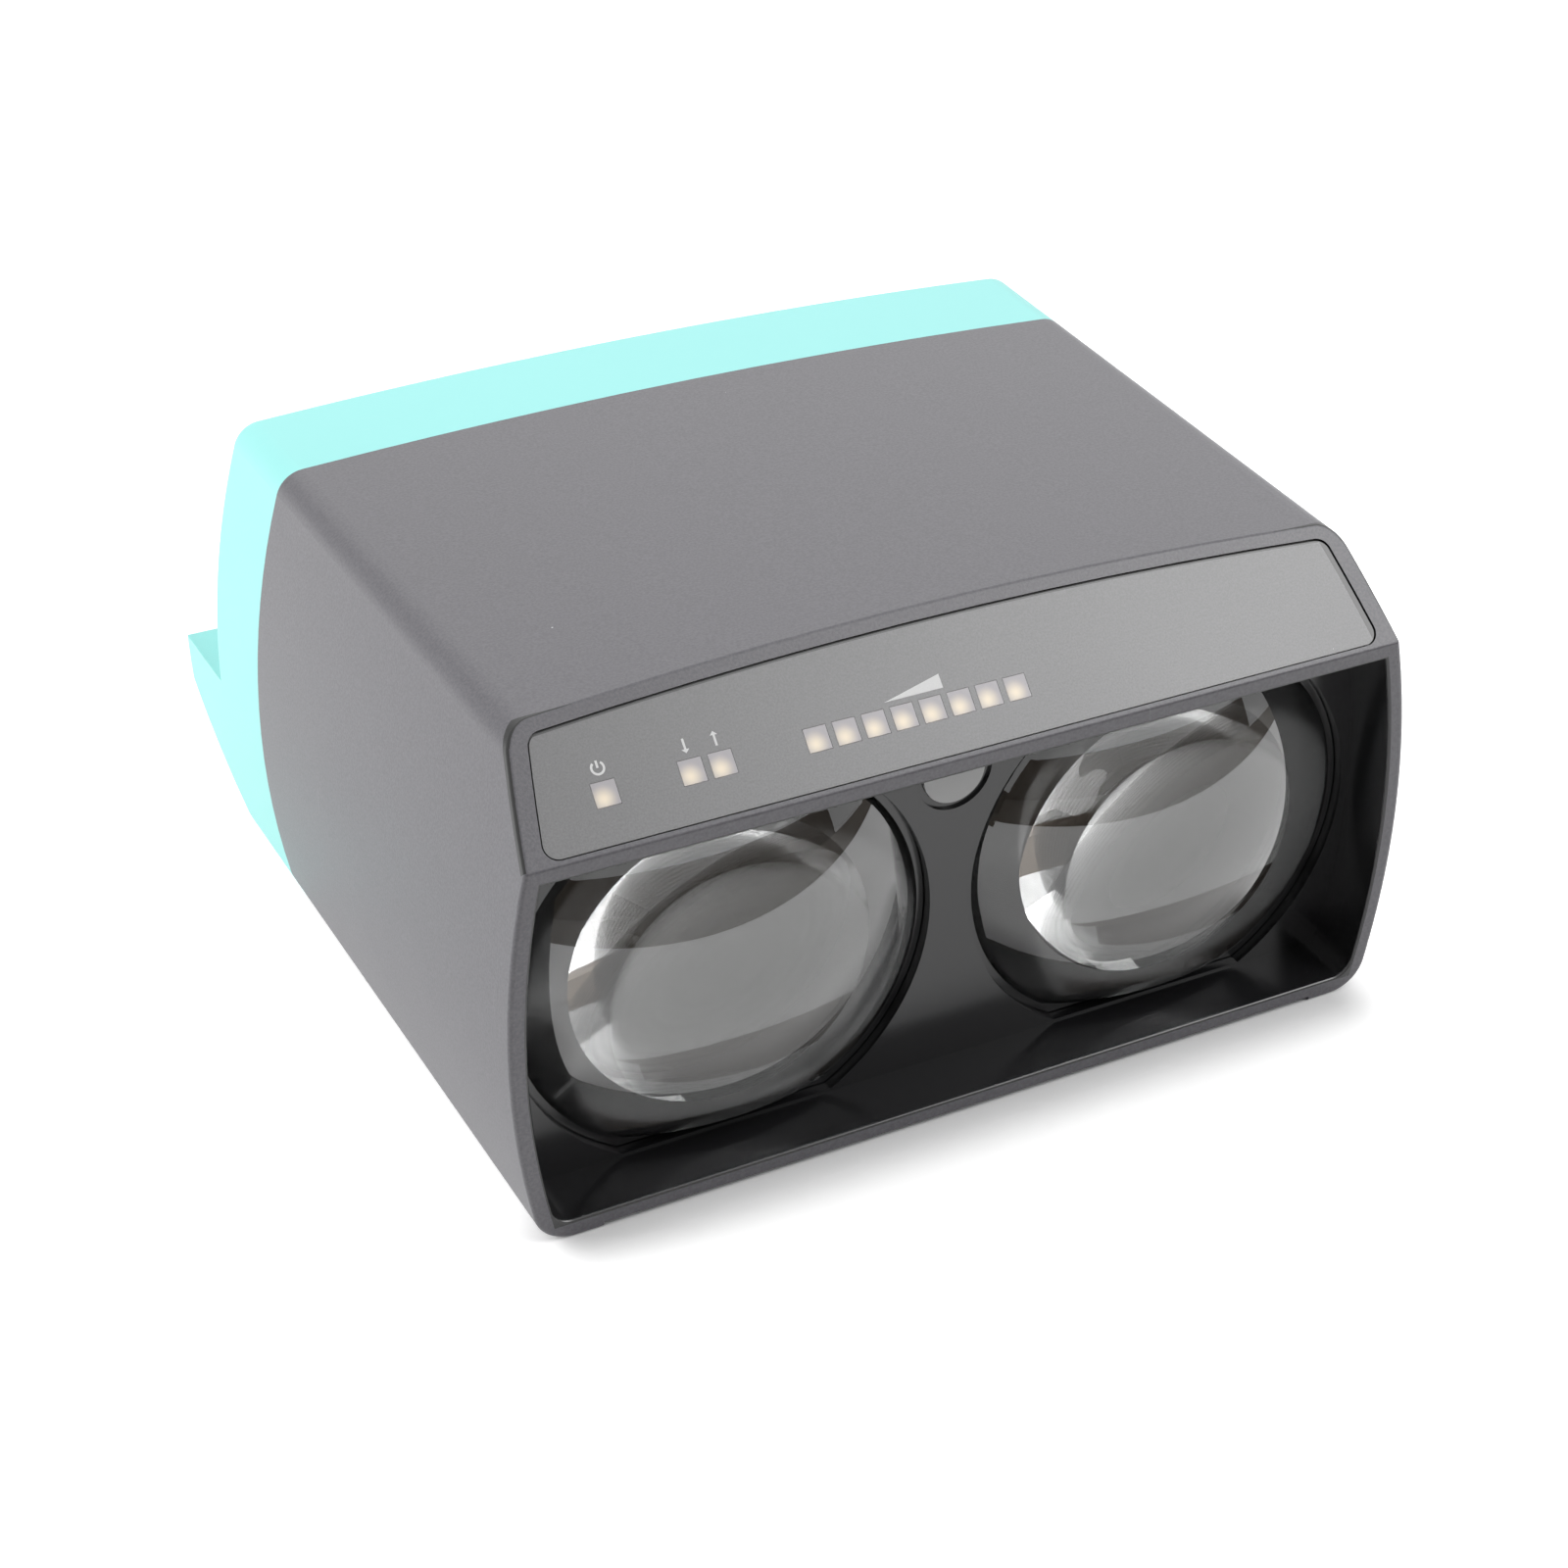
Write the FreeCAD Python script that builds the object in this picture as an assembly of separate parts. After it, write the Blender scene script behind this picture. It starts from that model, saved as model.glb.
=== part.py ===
import FreeCAD, Part
import math
import os

V = FreeCAD.Vector
os.makedirs("parts", exist_ok=True)

# Outer form of the housing, seen from the front
width = 162.4                # across the bulged sides, at the front rim
side_draft = 2.26            # degrees that each side opens towards the back
height = 87.7                # floor to the crown of the top
widest_height = 33.9         # where the bulged sides are widest
side_radius = 156.0          # arc of each side
crown_radius = 1250.0        # arc of the top
top_corner_radius = 5.5
base_corner_radius = 6.5
wall = 3.0
floor_wall = 3.3
least_corner = 0.6           # smallest inside corner that is moulded

# Lengths from front to back
hood_depth = 109.8           # front rim to the seam
rear_depth = 23.3            # seam to the upper back face
ledge_depth = 19.5           # upper back face to the back of the ledge
ledge_height = 35.6
ledge_flat = 7.6             # upright back of the ledge, above the slanted connector face
chamfer_angle = 50.0         # slanted connector face, from the floor
edge_round = 0.7             # outer front edges of the hood
rim_round = 0.5              # inner edge of the hood's front rim
rear_edge_round = 1.6        # outer back edges of the rear housing
base_relief = 0.9            # hollow under the base, between its two side rails
base_rail = 14.0             # width of each rail at the floor

# Front recess and lens wall
visor_edge = 2.7             # lower crease of the panel to the under side of the visor
visor_wall = 2.0
bulkhead_front = 11.0
bulkhead_wall = 2.5

# Sloped indicator panel
slope_drop = 17.7            # crown of the top to its lower crease
slope_angle = 44.6
panel_low = 0.8              # lower crease to the overlay's pocket, along the slope
panel_side = 3.1             # side of the hood to the pocket
panel_top = 1.6              # crown to the pocket
panel_corner = 2.5
overlay_recess = 0.8
overlay_thickness = 0.6
overlay_gap = 0.25
lamp_window = 3.95
lamp_along = 8.75            # lower crease to the lamp centres, along the slope
lamp_pitch = 4.95
lamp_start = 19.8            # side of the unit to the power lamp
link_step = 13.9             # power lamp to the first link lamp
signal_step = 20.7           # first link lamp to the first signal lamp
link_lamps = 2
signal_lamps = 8
guide_gap = 0.06
guide_rail = 1.0
guide_margin = 1.5
led_size = 2.0
led_height = 0.6
led_gap = 0.1
board_wall = 1.0             # thickness of the indicator board
board_reach = 9.0            # lamp centres to the indicator board's upper edge
board_side = 4.7             # outermost lamp centre to the indicator board's end
panel_post_radius = 2.5
panel_post_along = 6.2       # lamp centres to the posts, along the slope
panel_post_side = 27.0       # side of the unit to the outer posts

# Lenses and their carrier
web_width = 7.4              # lens wall between the two holes
hole_side = 0.9              # side of the recess to a hole
hole_margin = 0.4            # floor and visor to a hole
collar_wall = 1.5            # round edge of a hole to its lens
collar_flat_wall = 2.4       # flat of a hole to the flat of its lens
lens_edge = 4.0
lens_bevel = 1.0
lens_seat = 2.0
lens_land = 5.2              # flats of the lens to its rear curve
lens_set_back = 2.0          # lens wall to the lens edge
front_curve = 60.0
rear_curve = 120.0
lens_fit = 0.1
seal_thickness = 1.0
collar_gap = 0.2
chassis_gap = 0.4
flange_wall = 2.5
shoulder = 2.5
focus_gap = 10.5             # end plates of the light tubes to the seam
tube_end_radius = 9.5
tube_wall = 2.5
tube_steps = 9
end_plate = 3.0
end_plate_radius = 19.0
chassis_screw_gap = 3.0      # edge of a hole to the chassis screws
chassis_screw_edge = 3.9     # floor and visor to the chassis screws
chassis_boss_radius = 2.4
clamp_gap = 0.2

# Lamp window in the web between the lenses
aim_drop = 7.4               # visor to the lamp axis
aim_radius = 5.5
aim_groove = 1.3
aim_groove_depth = 0.6
aim_fit = 0.08
aim_flange = 1.6
aim_flange_wall = 1.0
aim_board_width = 22.0
aim_board_drop = 2.3         # lamp axis to the lower edge of its board
aim_board_rise = 7.7
aim_screw_across = 8.6
aim_board_gap = 0.2          # collars to the lamp board
aim_screw_gap = 0.1          # lens wall to the tips of the lamp board's screws
aim_screw_rise = 2.8

# Boards
circuit_wall = 1.6
optics_board_width = 36.0
optics_board_height = 30.0
diode_radius = 4.2
diode_rim = 0.8
diode_rim_length = 1.1
diode_length = 4.5
diode_gap = 0.8
optics_screw_across = 13.0
main_board_side = 25.0       # side of the unit to the main board
main_board_low = 9.0
main_board_drop = 8.0        # crown of the top to the main board
main_board_gap = 14.3        # main board to the upper back face
main_post_side = 8.0         # ends of the main board to its posts
main_post_drop = 5.0         # upper edge of the main board to its upper posts
main_post_lift = 8.5         # ledge to the lower posts
main_post_radius = 3.5
board_chips = (              # across, rise from the board's middle, width, height, thickness
    (-22.0, 18.0, 14.0, 14.0, 1.4),
    (14.0, 20.0, 10.0, 10.0, 1.4),
    (-28.0, -8.0, 16.0, 12.0, 6.0),
    (30.0, -6.0, 12.0, 9.0, 2.4),
)
capacitors = 3
capacitor_radius = 3.5
capacitor_length = 6.0
capacitor_pitch = 9.0
capacitor_drop = 8.0
header_width = 20.0
header_height = 5.0
header_drop = 10.0           # lens axis down to the board headers
ribbon_width = 14.0
ribbon_thickness = 0.8
ribbon_step = 14.0           # main board posts to the ribbon's middle
ribbon_socket = 4.0

# Seam between hood and rear housing
lip_gap = 0.15
lip_wall = 1.6
lip_length = 5.0
lip_root = 3.0
gasket_thickness = 1.5
gasket_gap = 0.2
seal_rib = 2.0
screw_boss_radius = 4.5
screw_boss_length = 28.0
screw_boss_gap = 0.5
screw_low = 11.0
screw_drop = 13.0            # crown of the top to the upper screws
screw_rib = 2.0
screw_radius = 2.0
screw_clearance = 0.2
screw_head_radius = 3.5
screw_head_length = 4.0
screw_key = 3.0              # across the flats of the socket
screw_key_depth = 2.0
screw_head_seat = 8.0        # seam to the seat of the screw heads
screw_grip = 12.0            # length of screw in the hood
insert_wall = 1.0
insert_length = 10.0

# Threaded inserts in the base
mount_spacing_across = 120.0
mount_spacing_along = 45.0
mount_gap = 0.5              # bosses of the rear pair to the gasket
mount_boss_radius = 5.5
mount_boss_height = 6.5
mount_insert_radius = 3.5
mount_insert_length = 5.5
mount_core_radius = 2.1
mount_core_depth = 5.0

# Round connectors on the slanted face
connector_spacing = 56.0
connector_height = 12.0
thread_radius = 6.0
thread_length = 8.0
connector_flange = 2.2
connector_hex = 18.0
body_radius = 8.0
body_length = 4.5            # mounting thread past the nut
contact_tail = 4.0           # solder ends of the contacts
body_gap = 0.1
socket_radius = 4.7
socket_depth = 8.0
nut_hex = 20.0
nut_thickness = 3.5
face_seal = 0.8              # thickness of the seal under the hexagon
face_seal_width = 1.0
insert_fit = 0.05
contact_radius = 0.5
contact_circle = 2.6
contact_inset = 1.0          # end of the thread to the tips of the contacts
supply_contacts = 4
data_contacts = 4
key_width = 1.2
key_height = 0.8

# Small screws
small_screw_radius = 1.25
small_head_radius = 2.6
small_head_length = 1.6
small_screw_grip = 4.0
panel_screw_radius = 0.8
panel_head_radius = 2.0
panel_head_length = 1.2
panel_screw_grip = 2.6
clamp_head_radius = 2.9

# Worked out from the sizes above
connector_tip = face_seal + connector_flange + thread_length
connector_tail = -(wall + nut_thickness + body_length)
overall_depth = hood_depth + rear_depth + ledge_depth
upper_back = hood_depth + rear_depth
bulkhead_back = bulkhead_front + bulkhead_wall
slope_foot = height - slope_drop
visor_height = slope_foot - visor_edge
visor_roof = visor_height + visor_wall
recess_half = (visor_height - floor_wall) / 2
lens_height = floor_wall + recess_half
hole_flat = recess_half - hole_margin
hole_radius = ((width - web_width) / 2 - wall - hole_side) / 2
lens_spacing = web_width + 2 * hole_radius
lens_radius = hole_radius - collar_wall
lens_flat = hole_flat - collar_flat_wall
lens_rear_radius = lens_flat - lens_land
aim_height = visor_height - aim_drop
focus_depth = hood_depth - focus_gap
chassis_screw_rise = recess_half - chassis_screw_edge
chassis_screw_reach = hole_radius + chassis_screw_gap
chassis_screw_across = lens_spacing / 2 + math.sqrt(chassis_screw_reach ** 2 - chassis_screw_rise ** 2)
main_board_half = width / 2 - main_board_side
main_board_high = height - main_board_drop
main_board_depth = upper_back - main_board_gap
main_post_across = main_board_half - main_post_side
ribbon_across = main_post_across - ribbon_step
chamfer_top = ledge_height - ledge_flat
screw_high = height - screw_drop
lens_places = (-lens_spacing / 2, lens_spacing / 2)
lens_front = bulkhead_front + lens_set_back
lens_back = lens_front + lens_edge
seat_back = lens_back + seal_thickness
flange_back = bulkhead_back + flange_wall
tube_start = seat_back + shoulder
plate_back = focus_depth + end_plate
optics_board_back = plate_back + circuit_wall
main_board_back = main_board_depth + circuit_wall
slope_rise = math.radians(slope_angle)
slant = math.radians(chamfer_angle)
power_lamp = lamp_start - width / 2
link_lamp = power_lamp + link_step
signal_lamp = link_lamp + signal_step
lamp_groups = ((power_lamp, 1), (link_lamp, link_lamps), (signal_lamp, signal_lamps))
guide_back = wall + guide_rail
led_front = guide_back + led_gap
panel_board_front = led_front + led_height
panel_board_back = panel_board_front + board_wall
screw_grip_start = hood_depth - screw_grip
seal_rib_back = hood_depth - lip_length - gasket_thickness
mount_rear = seal_rib_back - mount_boss_radius - mount_gap
mount_places = [
    (x, y)
    for x in (-mount_spacing_across / 2, mount_spacing_across / 2)
    for y in (mount_rear - mount_spacing_along, mount_rear)
]


# Shapes that the pieces are made from

def arc(cx, cz, radius, start, end):
    points = []
    for angle in (start, (start + end) / 2, end):
        points.append(V(cx + radius * math.cos(angle), 0, cz + radius * math.sin(angle)))
    return Part.Arc(*points).toShape()


def reach(depth):
    """Half width of the outer form at a depth."""
    return width / 2 + depth * math.tan(math.radians(side_draft))


def top_corner(depth, side, top, radius):
    """Centre of a circle that touches side and top from inside, each moved in."""
    bulge = side_radius - side - radius
    crown = crown_radius - top - radius
    cx, cz = reach(depth) - side_radius, widest_height
    crown_z = height - crown_radius
    apart = math.hypot(cx, crown_z - cz)
    along = (bulge ** 2 - crown ** 2 + apart ** 2) / (2 * apart)
    across = math.sqrt(bulge ** 2 - along ** 2)
    ux, uz = -cx / apart, (crown_z - cz) / apart
    return cx + along * ux - across * uz, cz + along * uz + across * ux


def section(depth, side, top, base):
    """Outline of the housing at a depth, moved in at its sides, top and base."""
    top_radius = max(top_corner_radius - min(side, top), least_corner)
    base_radius = max(base_corner_radius - min(side, base), least_corner)
    bulge = side_radius - side
    crown = crown_radius - top
    cx, cz = reach(depth) - side_radius, widest_height
    crown_z = height - crown_radius
    base_z = base + base_radius
    base_x = cx + math.sqrt((bulge - base_radius) ** 2 - (base_z - cz) ** 2)
    top_x, top_z = top_corner(depth, side, top, top_radius)
    low = math.atan2(base_z - cz, base_x - cx)
    high = math.atan2(top_z - cz, top_x - cx)
    end = math.atan2(top_z - crown_z, top_x)
    edges = [
        arc(base_x, base_z, base_radius, -math.pi / 2, low),
        arc(cx, cz, bulge, low, high),
        arc(top_x, top_z, top_radius, high, end),
        arc(0, crown_z, crown, end, math.pi - end),
        arc(-top_x, top_z, top_radius, math.pi - end, math.pi - high),
        arc(-cx, cz, bulge, math.pi - high, math.pi - low),
        arc(-base_x, base_z, base_radius, math.pi - low, 1.5 * math.pi),
        Part.makeLine(V(-base_x, 0, base), V(base_x, 0, base)),
    ]
    outline = Part.Wire(edges)
    outline.translate(V(0, depth, 0))
    return outline


def true_plane(face):
    """A face that is ruled but flat, remade on a plane."""
    flat = face.findPlane()
    if flat is None or isinstance(face.Surface, Part.Plane):
        return face
    return Part.Face(flat, [face.OuterWire])


def form(start, end, side=0.0, top=None, base=None):
    """Length of the housing's form between two depths, lofted along the draft."""
    top = side if top is None else top
    base = side if base is None else base
    ends = [section(depth, side, top, base) for depth in (start, end)]
    faces = [true_plane(face) for face in Part.makeLoft(ends, True, True).Faces]
    return Part.Solid(Part.Shell(faces))


def half_width(z, depth, inset):
    """Half width of the housing at a height and depth, moved in at its sides."""
    bulge = side_radius - inset
    return reach(depth) - side_radius + math.sqrt(bulge ** 2 - (z - widest_height) ** 2)


def block(x0, x1, y0, y1, z0, z1):
    return Part.makeBox(x1 - x0, y1 - y0, z1 - z0, V(x0, y0, z0))


def rod(x, z, radius, y0, y1):
    return Part.makeCylinder(radius, y1 - y0, V(x, y0, z), V(0, 1, 0))


def hexagon(across, end, start=0.0):
    """Six-sided bar along Z."""
    radius = across / math.sqrt(3)
    corners = []
    for i in range(6):
        angle = math.radians(60 * i)
        corners.append(V(radius * math.cos(angle), radius * math.sin(angle), start))
    return Part.Face(Part.makePolygon(corners + corners[:1])).extrude(V(0, 0, end - start))


def side_prism(points, half):
    """Outline in depth and height, given its width either side of the middle."""
    corners = [V(-half, y, z) for y, z in points]
    return Part.Face(Part.makePolygon(corners + corners[:1])).extrude(V(2 * half, 0, 0))


def above_slope(depth):
    """All that lies above the sloped panel, moved in by a depth."""
    drop = depth / math.cos(slope_rise)
    run = 2 * height
    rise = run * math.tan(slope_rise)
    foot = slope_foot - drop
    return side_prism([(-run, foot - rise), (run, foot + rise), (-run, foot + rise)], width)


def on_slope(shape):
    """Place a shape that was drawn flat on the sloped panel."""
    placed = shape.copy()
    turn = FreeCAD.Rotation(V(1, 0, 0), slope_angle)
    placed.Placement = FreeCAD.Placement(V(0, 0, slope_foot), turn).multiply(shape.Placement)
    return placed


def slope_block(u0, u1, v0, v1, deep, shallow):
    return on_slope(block(u0, u1, v0, v1, -deep, -shallow))


def slope_rod(u, v, radius, deep, shallow):
    return on_slope(Part.makeCylinder(radius, deep - shallow, V(u, v, -deep), V(0, 0, 1)))


def barrel(x, radius, flat, y0, y1):
    """Round bar on a lens axis, cut flat above and below."""
    return rod(x, lens_height, radius, y0, y1).common(flats(x, flat, y0, y1))


def flats(x, flat, y0, y1):
    half = hole_radius + wall
    return block(x - half, x + half, y0, y1, lens_height - flat, lens_height + flat)


def spun(outline, x):
    """Outline of radius and depth, spun about a lens axis."""
    face = Part.Face(Part.Wire(outline))
    face.translate(V(x, 0, lens_height))
    return face.revolve(V(x, 0, lens_height), V(0, 1, 0), 360)


def lathe(points, x):
    corners = [V(radius, y, 0) for radius, y in points]
    return spun(Part.makePolygon(corners + corners[:1]).Edges, x)


def joined(shapes):
    whole = shapes[0]
    for shape in shapes[1:]:
        whole = whole.fuse(shape)
    return whole.removeSplitter()


def without(shape, cutters):
    for cutter in cutters:
        shape = shape.cut(cutter)
    return shape


def export(name, *shapes):
    """Write one node, with the origin under the middle of the whole unit."""
    whole = shapes[0] if len(shapes) == 1 else Part.makeCompound(list(shapes))
    whole = whole.copy()
    whole.translate(V(0, -overall_depth / 2, 0))
    whole.exportStep("parts/" + name + ".step")


# Indicator panel

def panel_plate(gap, deep, shallow):
    """Plate on the sloped panel whose outline follows the sides and the crown."""
    side, top = panel_side + gap, panel_top + gap
    run, rise = math.cos(slope_rise), math.sin(slope_rise)
    crest = (height - top - slope_foot) / rise
    corner_x, corner_z = top_corner(crest * run, side, top, 0)
    low = panel_low + gap
    high = (corner_z - slope_foot) / rise
    middle = (low + high) / 2
    foot_x, middle_x = (half_width(slope_foot + v * rise, v * run, side) for v in (low, middle))
    right = Part.Arc(V(foot_x, low, 0), V(middle_x, middle, 0), V(corner_x, high, 0))
    upper = Part.Arc(V(corner_x, high, 0), V(0, crest, 0), V(-corner_x, high, 0))
    left = Part.Arc(V(-corner_x, high, 0), V(-middle_x, middle, 0), V(-foot_x, low, 0))
    foot = Part.makeLine(V(-foot_x, low, 0), V(foot_x, low, 0))
    face = Part.Face(Part.Wire([foot, right.toShape(), upper.toShape(), left.toShape()]))
    face.translate(V(0, 0, -deep))
    plate = face.extrude(V(0, 0, deep - shallow))
    upright = [edge for edge in plate.Edges if edge.BoundBox.ZLength > edge.Length / 2]
    return on_slope(plate.makeFillet(panel_corner - gap, upright))


def lamp_rows():
    return [first + lamp_pitch * i for first, count in lamp_groups for i in range(count)]


def lamp_block(u, size, deep, shallow):
    half = size / 2
    return slope_block(u - half, u + half, lamp_along - half, lamp_along + half, deep, shallow)


def light_guide(first, count):
    """Clear bar behind the panel with one square tip for each lamp."""
    half = lamp_window / 2 + guide_margin
    last = first + lamp_pitch * (count - 1)
    low, high = lamp_along - half, lamp_along + half
    shapes = [slope_block(first - half, last + half, low, high, guide_back, wall)]
    for i in range(count):
        tip = lamp_window - 2 * guide_gap
        shapes.append(lamp_block(first + lamp_pitch * i, tip, wall, overlay_recess - overlay_thickness))
    return joined(shapes)


def panel_posts():
    along = lamp_along + panel_post_along
    outer = width / 2 - panel_post_side
    return [(u, along) for u in (-outer, 0.0, outer)]


def indicator_board():
    ends = max(abs(u) for u in lamp_rows()) + board_side
    free = visor_roof + chassis_gap - slope_foot + panel_board_back * math.cos(slope_rise)
    low = free / math.sin(slope_rise)
    board = slope_block(-ends, ends, low, lamp_along + board_reach, panel_board_back, panel_board_front)
    deep, shallow = panel_board_back, panel_board_front
    return without(board, [slope_rod(u, v, panel_screw_radius, deep, shallow) for u, v in panel_posts()])


def indicator_screw(u, v):
    head = slope_rod(u, v, panel_head_radius, panel_board_back + panel_head_length, panel_board_back)
    shank = slope_rod(u, v, panel_screw_radius, panel_board_back, panel_board_back - panel_screw_grip)
    return head.fuse(shank).removeSplitter()


# Lenses and the carrier that holds them

def lens(x):
    """Thick biconvex lens with a bevelled edge and two flats."""
    front_radius = lens_radius - lens_bevel
    rear_radius = lens_rear_radius
    bevel_front = lens_front - lens_bevel
    front_hub = bevel_front + math.sqrt(front_curve ** 2 - front_radius ** 2)
    rear_hub = lens_back - math.sqrt(rear_curve ** 2 - rear_radius ** 2)
    front_top = front_hub - front_curve
    rear_top = rear_hub + rear_curve
    front_mid = front_radius / 2
    rear_mid = rear_radius / 2
    front_arc = Part.Arc(
        V(0, front_top, 0),
        V(front_mid, front_hub - math.sqrt(front_curve ** 2 - front_mid ** 2), 0),
        V(front_radius, bevel_front, 0),
    )
    rear_arc = Part.Arc(
        V(rear_radius, lens_back, 0),
        V(rear_mid, rear_hub + math.sqrt(rear_curve ** 2 - rear_mid ** 2), 0),
        V(0, rear_top, 0),
    )
    outline = [
        front_arc.toShape(),
        Part.makeLine(V(front_radius, bevel_front, 0), V(lens_radius, lens_front, 0)),
        Part.makeLine(V(lens_radius, lens_front, 0), V(lens_radius, lens_back, 0)),
        Part.makeLine(V(lens_radius, lens_back, 0), V(rear_radius, lens_back, 0)),
        rear_arc.toShape(),
        Part.makeLine(V(0, rear_top, 0), V(0, front_top, 0)),
    ]
    return spun(outline, x).common(flats(x, lens_flat, front_top, rear_top))


def lens_seal(x):
    ring = barrel(x, lens_radius, lens_flat, lens_back, seat_back)
    return ring.cut(barrel(x, lens_radius - lens_seat, lens_flat - lens_seat, lens_back, seat_back))


def stepped_bore(x):
    """Inside of a light tube: rings that narrow step by step to the end plate."""
    start = lens_radius - lens_seat
    end = tube_end_radius - tube_wall
    length = (focus_depth - seat_back) / tube_steps
    points = [(0, seat_back)]
    for i in range(tube_steps):
        radius = start + (end - start) * i / (tube_steps - 1)
        points.append((radius, seat_back + length * i))
        points.append((radius, seat_back + length * (i + 1)))
    points.append((0, focus_depth))
    return lathe(points, x).common(flats(x, lens_flat - lens_seat, seat_back, focus_depth))


def chassis_screw_places():
    rows = (lens_height - chassis_screw_rise, lens_height + chassis_screw_rise)
    return [(x, z) for x in (-chassis_screw_across, chassis_screw_across) for z in rows]


def optics_screw_places():
    return [
        (x + offset, lens_height)
        for x in lens_places
        for offset in (-optics_screw_across, optics_screw_across)
    ]


def aim_screw_places():
    return [(x, aim_height + aim_screw_rise) for x in (-aim_screw_across, aim_screw_across)]


def optics_chassis():
    flange = form(bulkhead_back, flange_back, wall + chassis_gap, base=floor_wall + chassis_gap)
    roof = visor_roof - chassis_gap
    shapes = [flange.common(block(-width, width, 0, hood_depth, 0, roof))]
    collar = hole_radius - collar_gap
    collar_flat = hole_flat - collar_gap
    for x in lens_places:
        shapes.append(barrel(x, collar, collar_flat, lens_front, tube_start))
        cone = [(0, tube_start), (collar, tube_start), (tube_end_radius, focus_depth), (0, focus_depth)]
        shapes.append(lathe(cone, x).common(flats(x, collar_flat, tube_start, focus_depth)))
        shapes.append(rod(x, lens_height, end_plate_radius, focus_depth, plate_back))
    cutters = []
    for x in lens_places:
        cutters.append(barrel(x, lens_radius + lens_fit, lens_flat + lens_fit, lens_front, seat_back))
        cutters.append(stepped_bore(x))
        cutters.append(rod(x, lens_height, diode_radius + diode_gap, focus_depth, plate_back))
    for x, z in chassis_screw_places():
        cutters.append(rod(x, z, chassis_boss_radius + clamp_gap, bulkhead_back, flange_back))
    for x, z in optics_screw_places():
        cutters.append(rod(x, z, small_screw_radius, optics_board_back - small_screw_grip, plate_back))
    cutters.append(rod(0, aim_height, aim_radius + aim_flange + clamp_gap, bulkhead_back, flange_back))
    for x, z in aim_screw_places():
        cutters.append(rod(x, z, small_screw_radius, bulkhead_back, flange_back))
    return without(joined(shapes), cutters)


def aiming_lamp_window():
    disc = rod(0, aim_height, aim_radius, bulkhead_front, bulkhead_back)
    flange = rod(0, aim_height, aim_radius + aim_flange, bulkhead_back, bulkhead_back + aim_flange_wall)
    return disc.fuse(flange).removeSplitter()


def aiming_lamp_board():
    half = aim_board_width / 2
    low, high = aim_height - aim_board_drop, aim_height + aim_board_rise
    start, end = flange_back, flange_back + circuit_wall
    board = block(-half, half, start, end, low, high)
    room = hole_radius - collar_gap + aim_board_gap
    cutters = [rod(x, lens_height, room, start, end) for x in lens_places]
    cutters += [rod(x, z, small_screw_radius, start, end) for x, z in aim_screw_places()]
    return without(board, cutters)


def aiming_lamp_led():
    half = led_size
    front = bulkhead_back + aim_flange_wall + led_gap
    return block(-half, half, front, flange_back, aim_height - half, aim_height + half)


def small_screw(x, z, seat, direction, grip):
    """Pan head screw whose head rests on a seat; direction is the way its head faces."""
    head = Part.makeCylinder(small_head_radius, small_head_length, V(x, seat, z), V(0, direction, 0))
    shank = Part.makeCylinder(small_screw_radius, grip, V(x, seat, z), V(0, -direction, 0))
    return head.fuse(shank).removeSplitter()


# Front hood

def screw_places():
    inset = wall + lip_gap + lip_wall + screw_boss_gap + screw_boss_radius
    return [
        (side * half_width(z, hood_depth, inset), z)
        for z in (screw_low, screw_high)
        for side in (-1, 1)
    ]


def rounded_hood():
    """Outer form of the hood with its front edges and panel edges rounded."""
    body = form(0, hood_depth).cut(above_slope(0))
    edges = []
    for edge in body.Edges:
        ends = [edge.valueAt(edge.FirstParameter), edge.valueAt(edge.LastParameter)]
        on_rim = all(abs(end.y) < 0.001 for end in ends)
        lift = [end.z - slope_foot - end.y * math.tan(slope_rise) for end in ends]
        if on_rim or all(abs(value) < 0.001 for value in lift):
            edges.append(edge)
    return body.makeFillet(edge_round, edges)


def hood_cavity():
    inside = form(0, hood_depth, wall, base=floor_wall)
    front = block(-width, width, -wall, bulkhead_back, -wall, visor_roof)
    return without(inside, [above_slope(wall), front])


def front_recess():
    inside = form(0, bulkhead_front, wall, base=floor_wall)
    return inside.common(block(-width, width, 0, bulkhead_front, 0, visor_height))


def base_hollow(start, end):
    """Shallow hollow under the base; the rails either side stand on the floor."""
    half = width / 2 - base_rail
    return block(-half, half, start, end, 0, base_relief)


def hood_screw_boss(x, z):
    """Boss for a housing screw, tied to the side wall by a rib."""
    start = hood_depth - screw_boss_length
    out = math.copysign(1, x)
    low_x, high_x = sorted((x, out * half_width(z, start, wall / 2)))
    rib = block(low_x, high_x, start, seal_rib_back, z - screw_rib / 2, z + screw_rib / 2)
    return rod(x, z, screw_boss_radius, start, hood_depth).fuse(rib)


def hood_shell():
    """Hood with its hollows, and the inner edge of its front rim rounded."""
    shell = rounded_hood().cut(front_recess())
    rim = []
    for edge in shell.Edges:
        ends = [edge.valueAt(edge.FirstParameter), edge.valueAt(edge.LastParameter)]
        inside = all(edge_round < end.z < slope_foot - edge_round for end in ends)
        if inside and all(abs(end.y) < 0.001 for end in ends):
            rim.append(edge)
    shell = shell.makeFillet(rim_round, rim)
    return without(shell, [hood_cavity(), base_hollow(0, hood_depth)])


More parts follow.
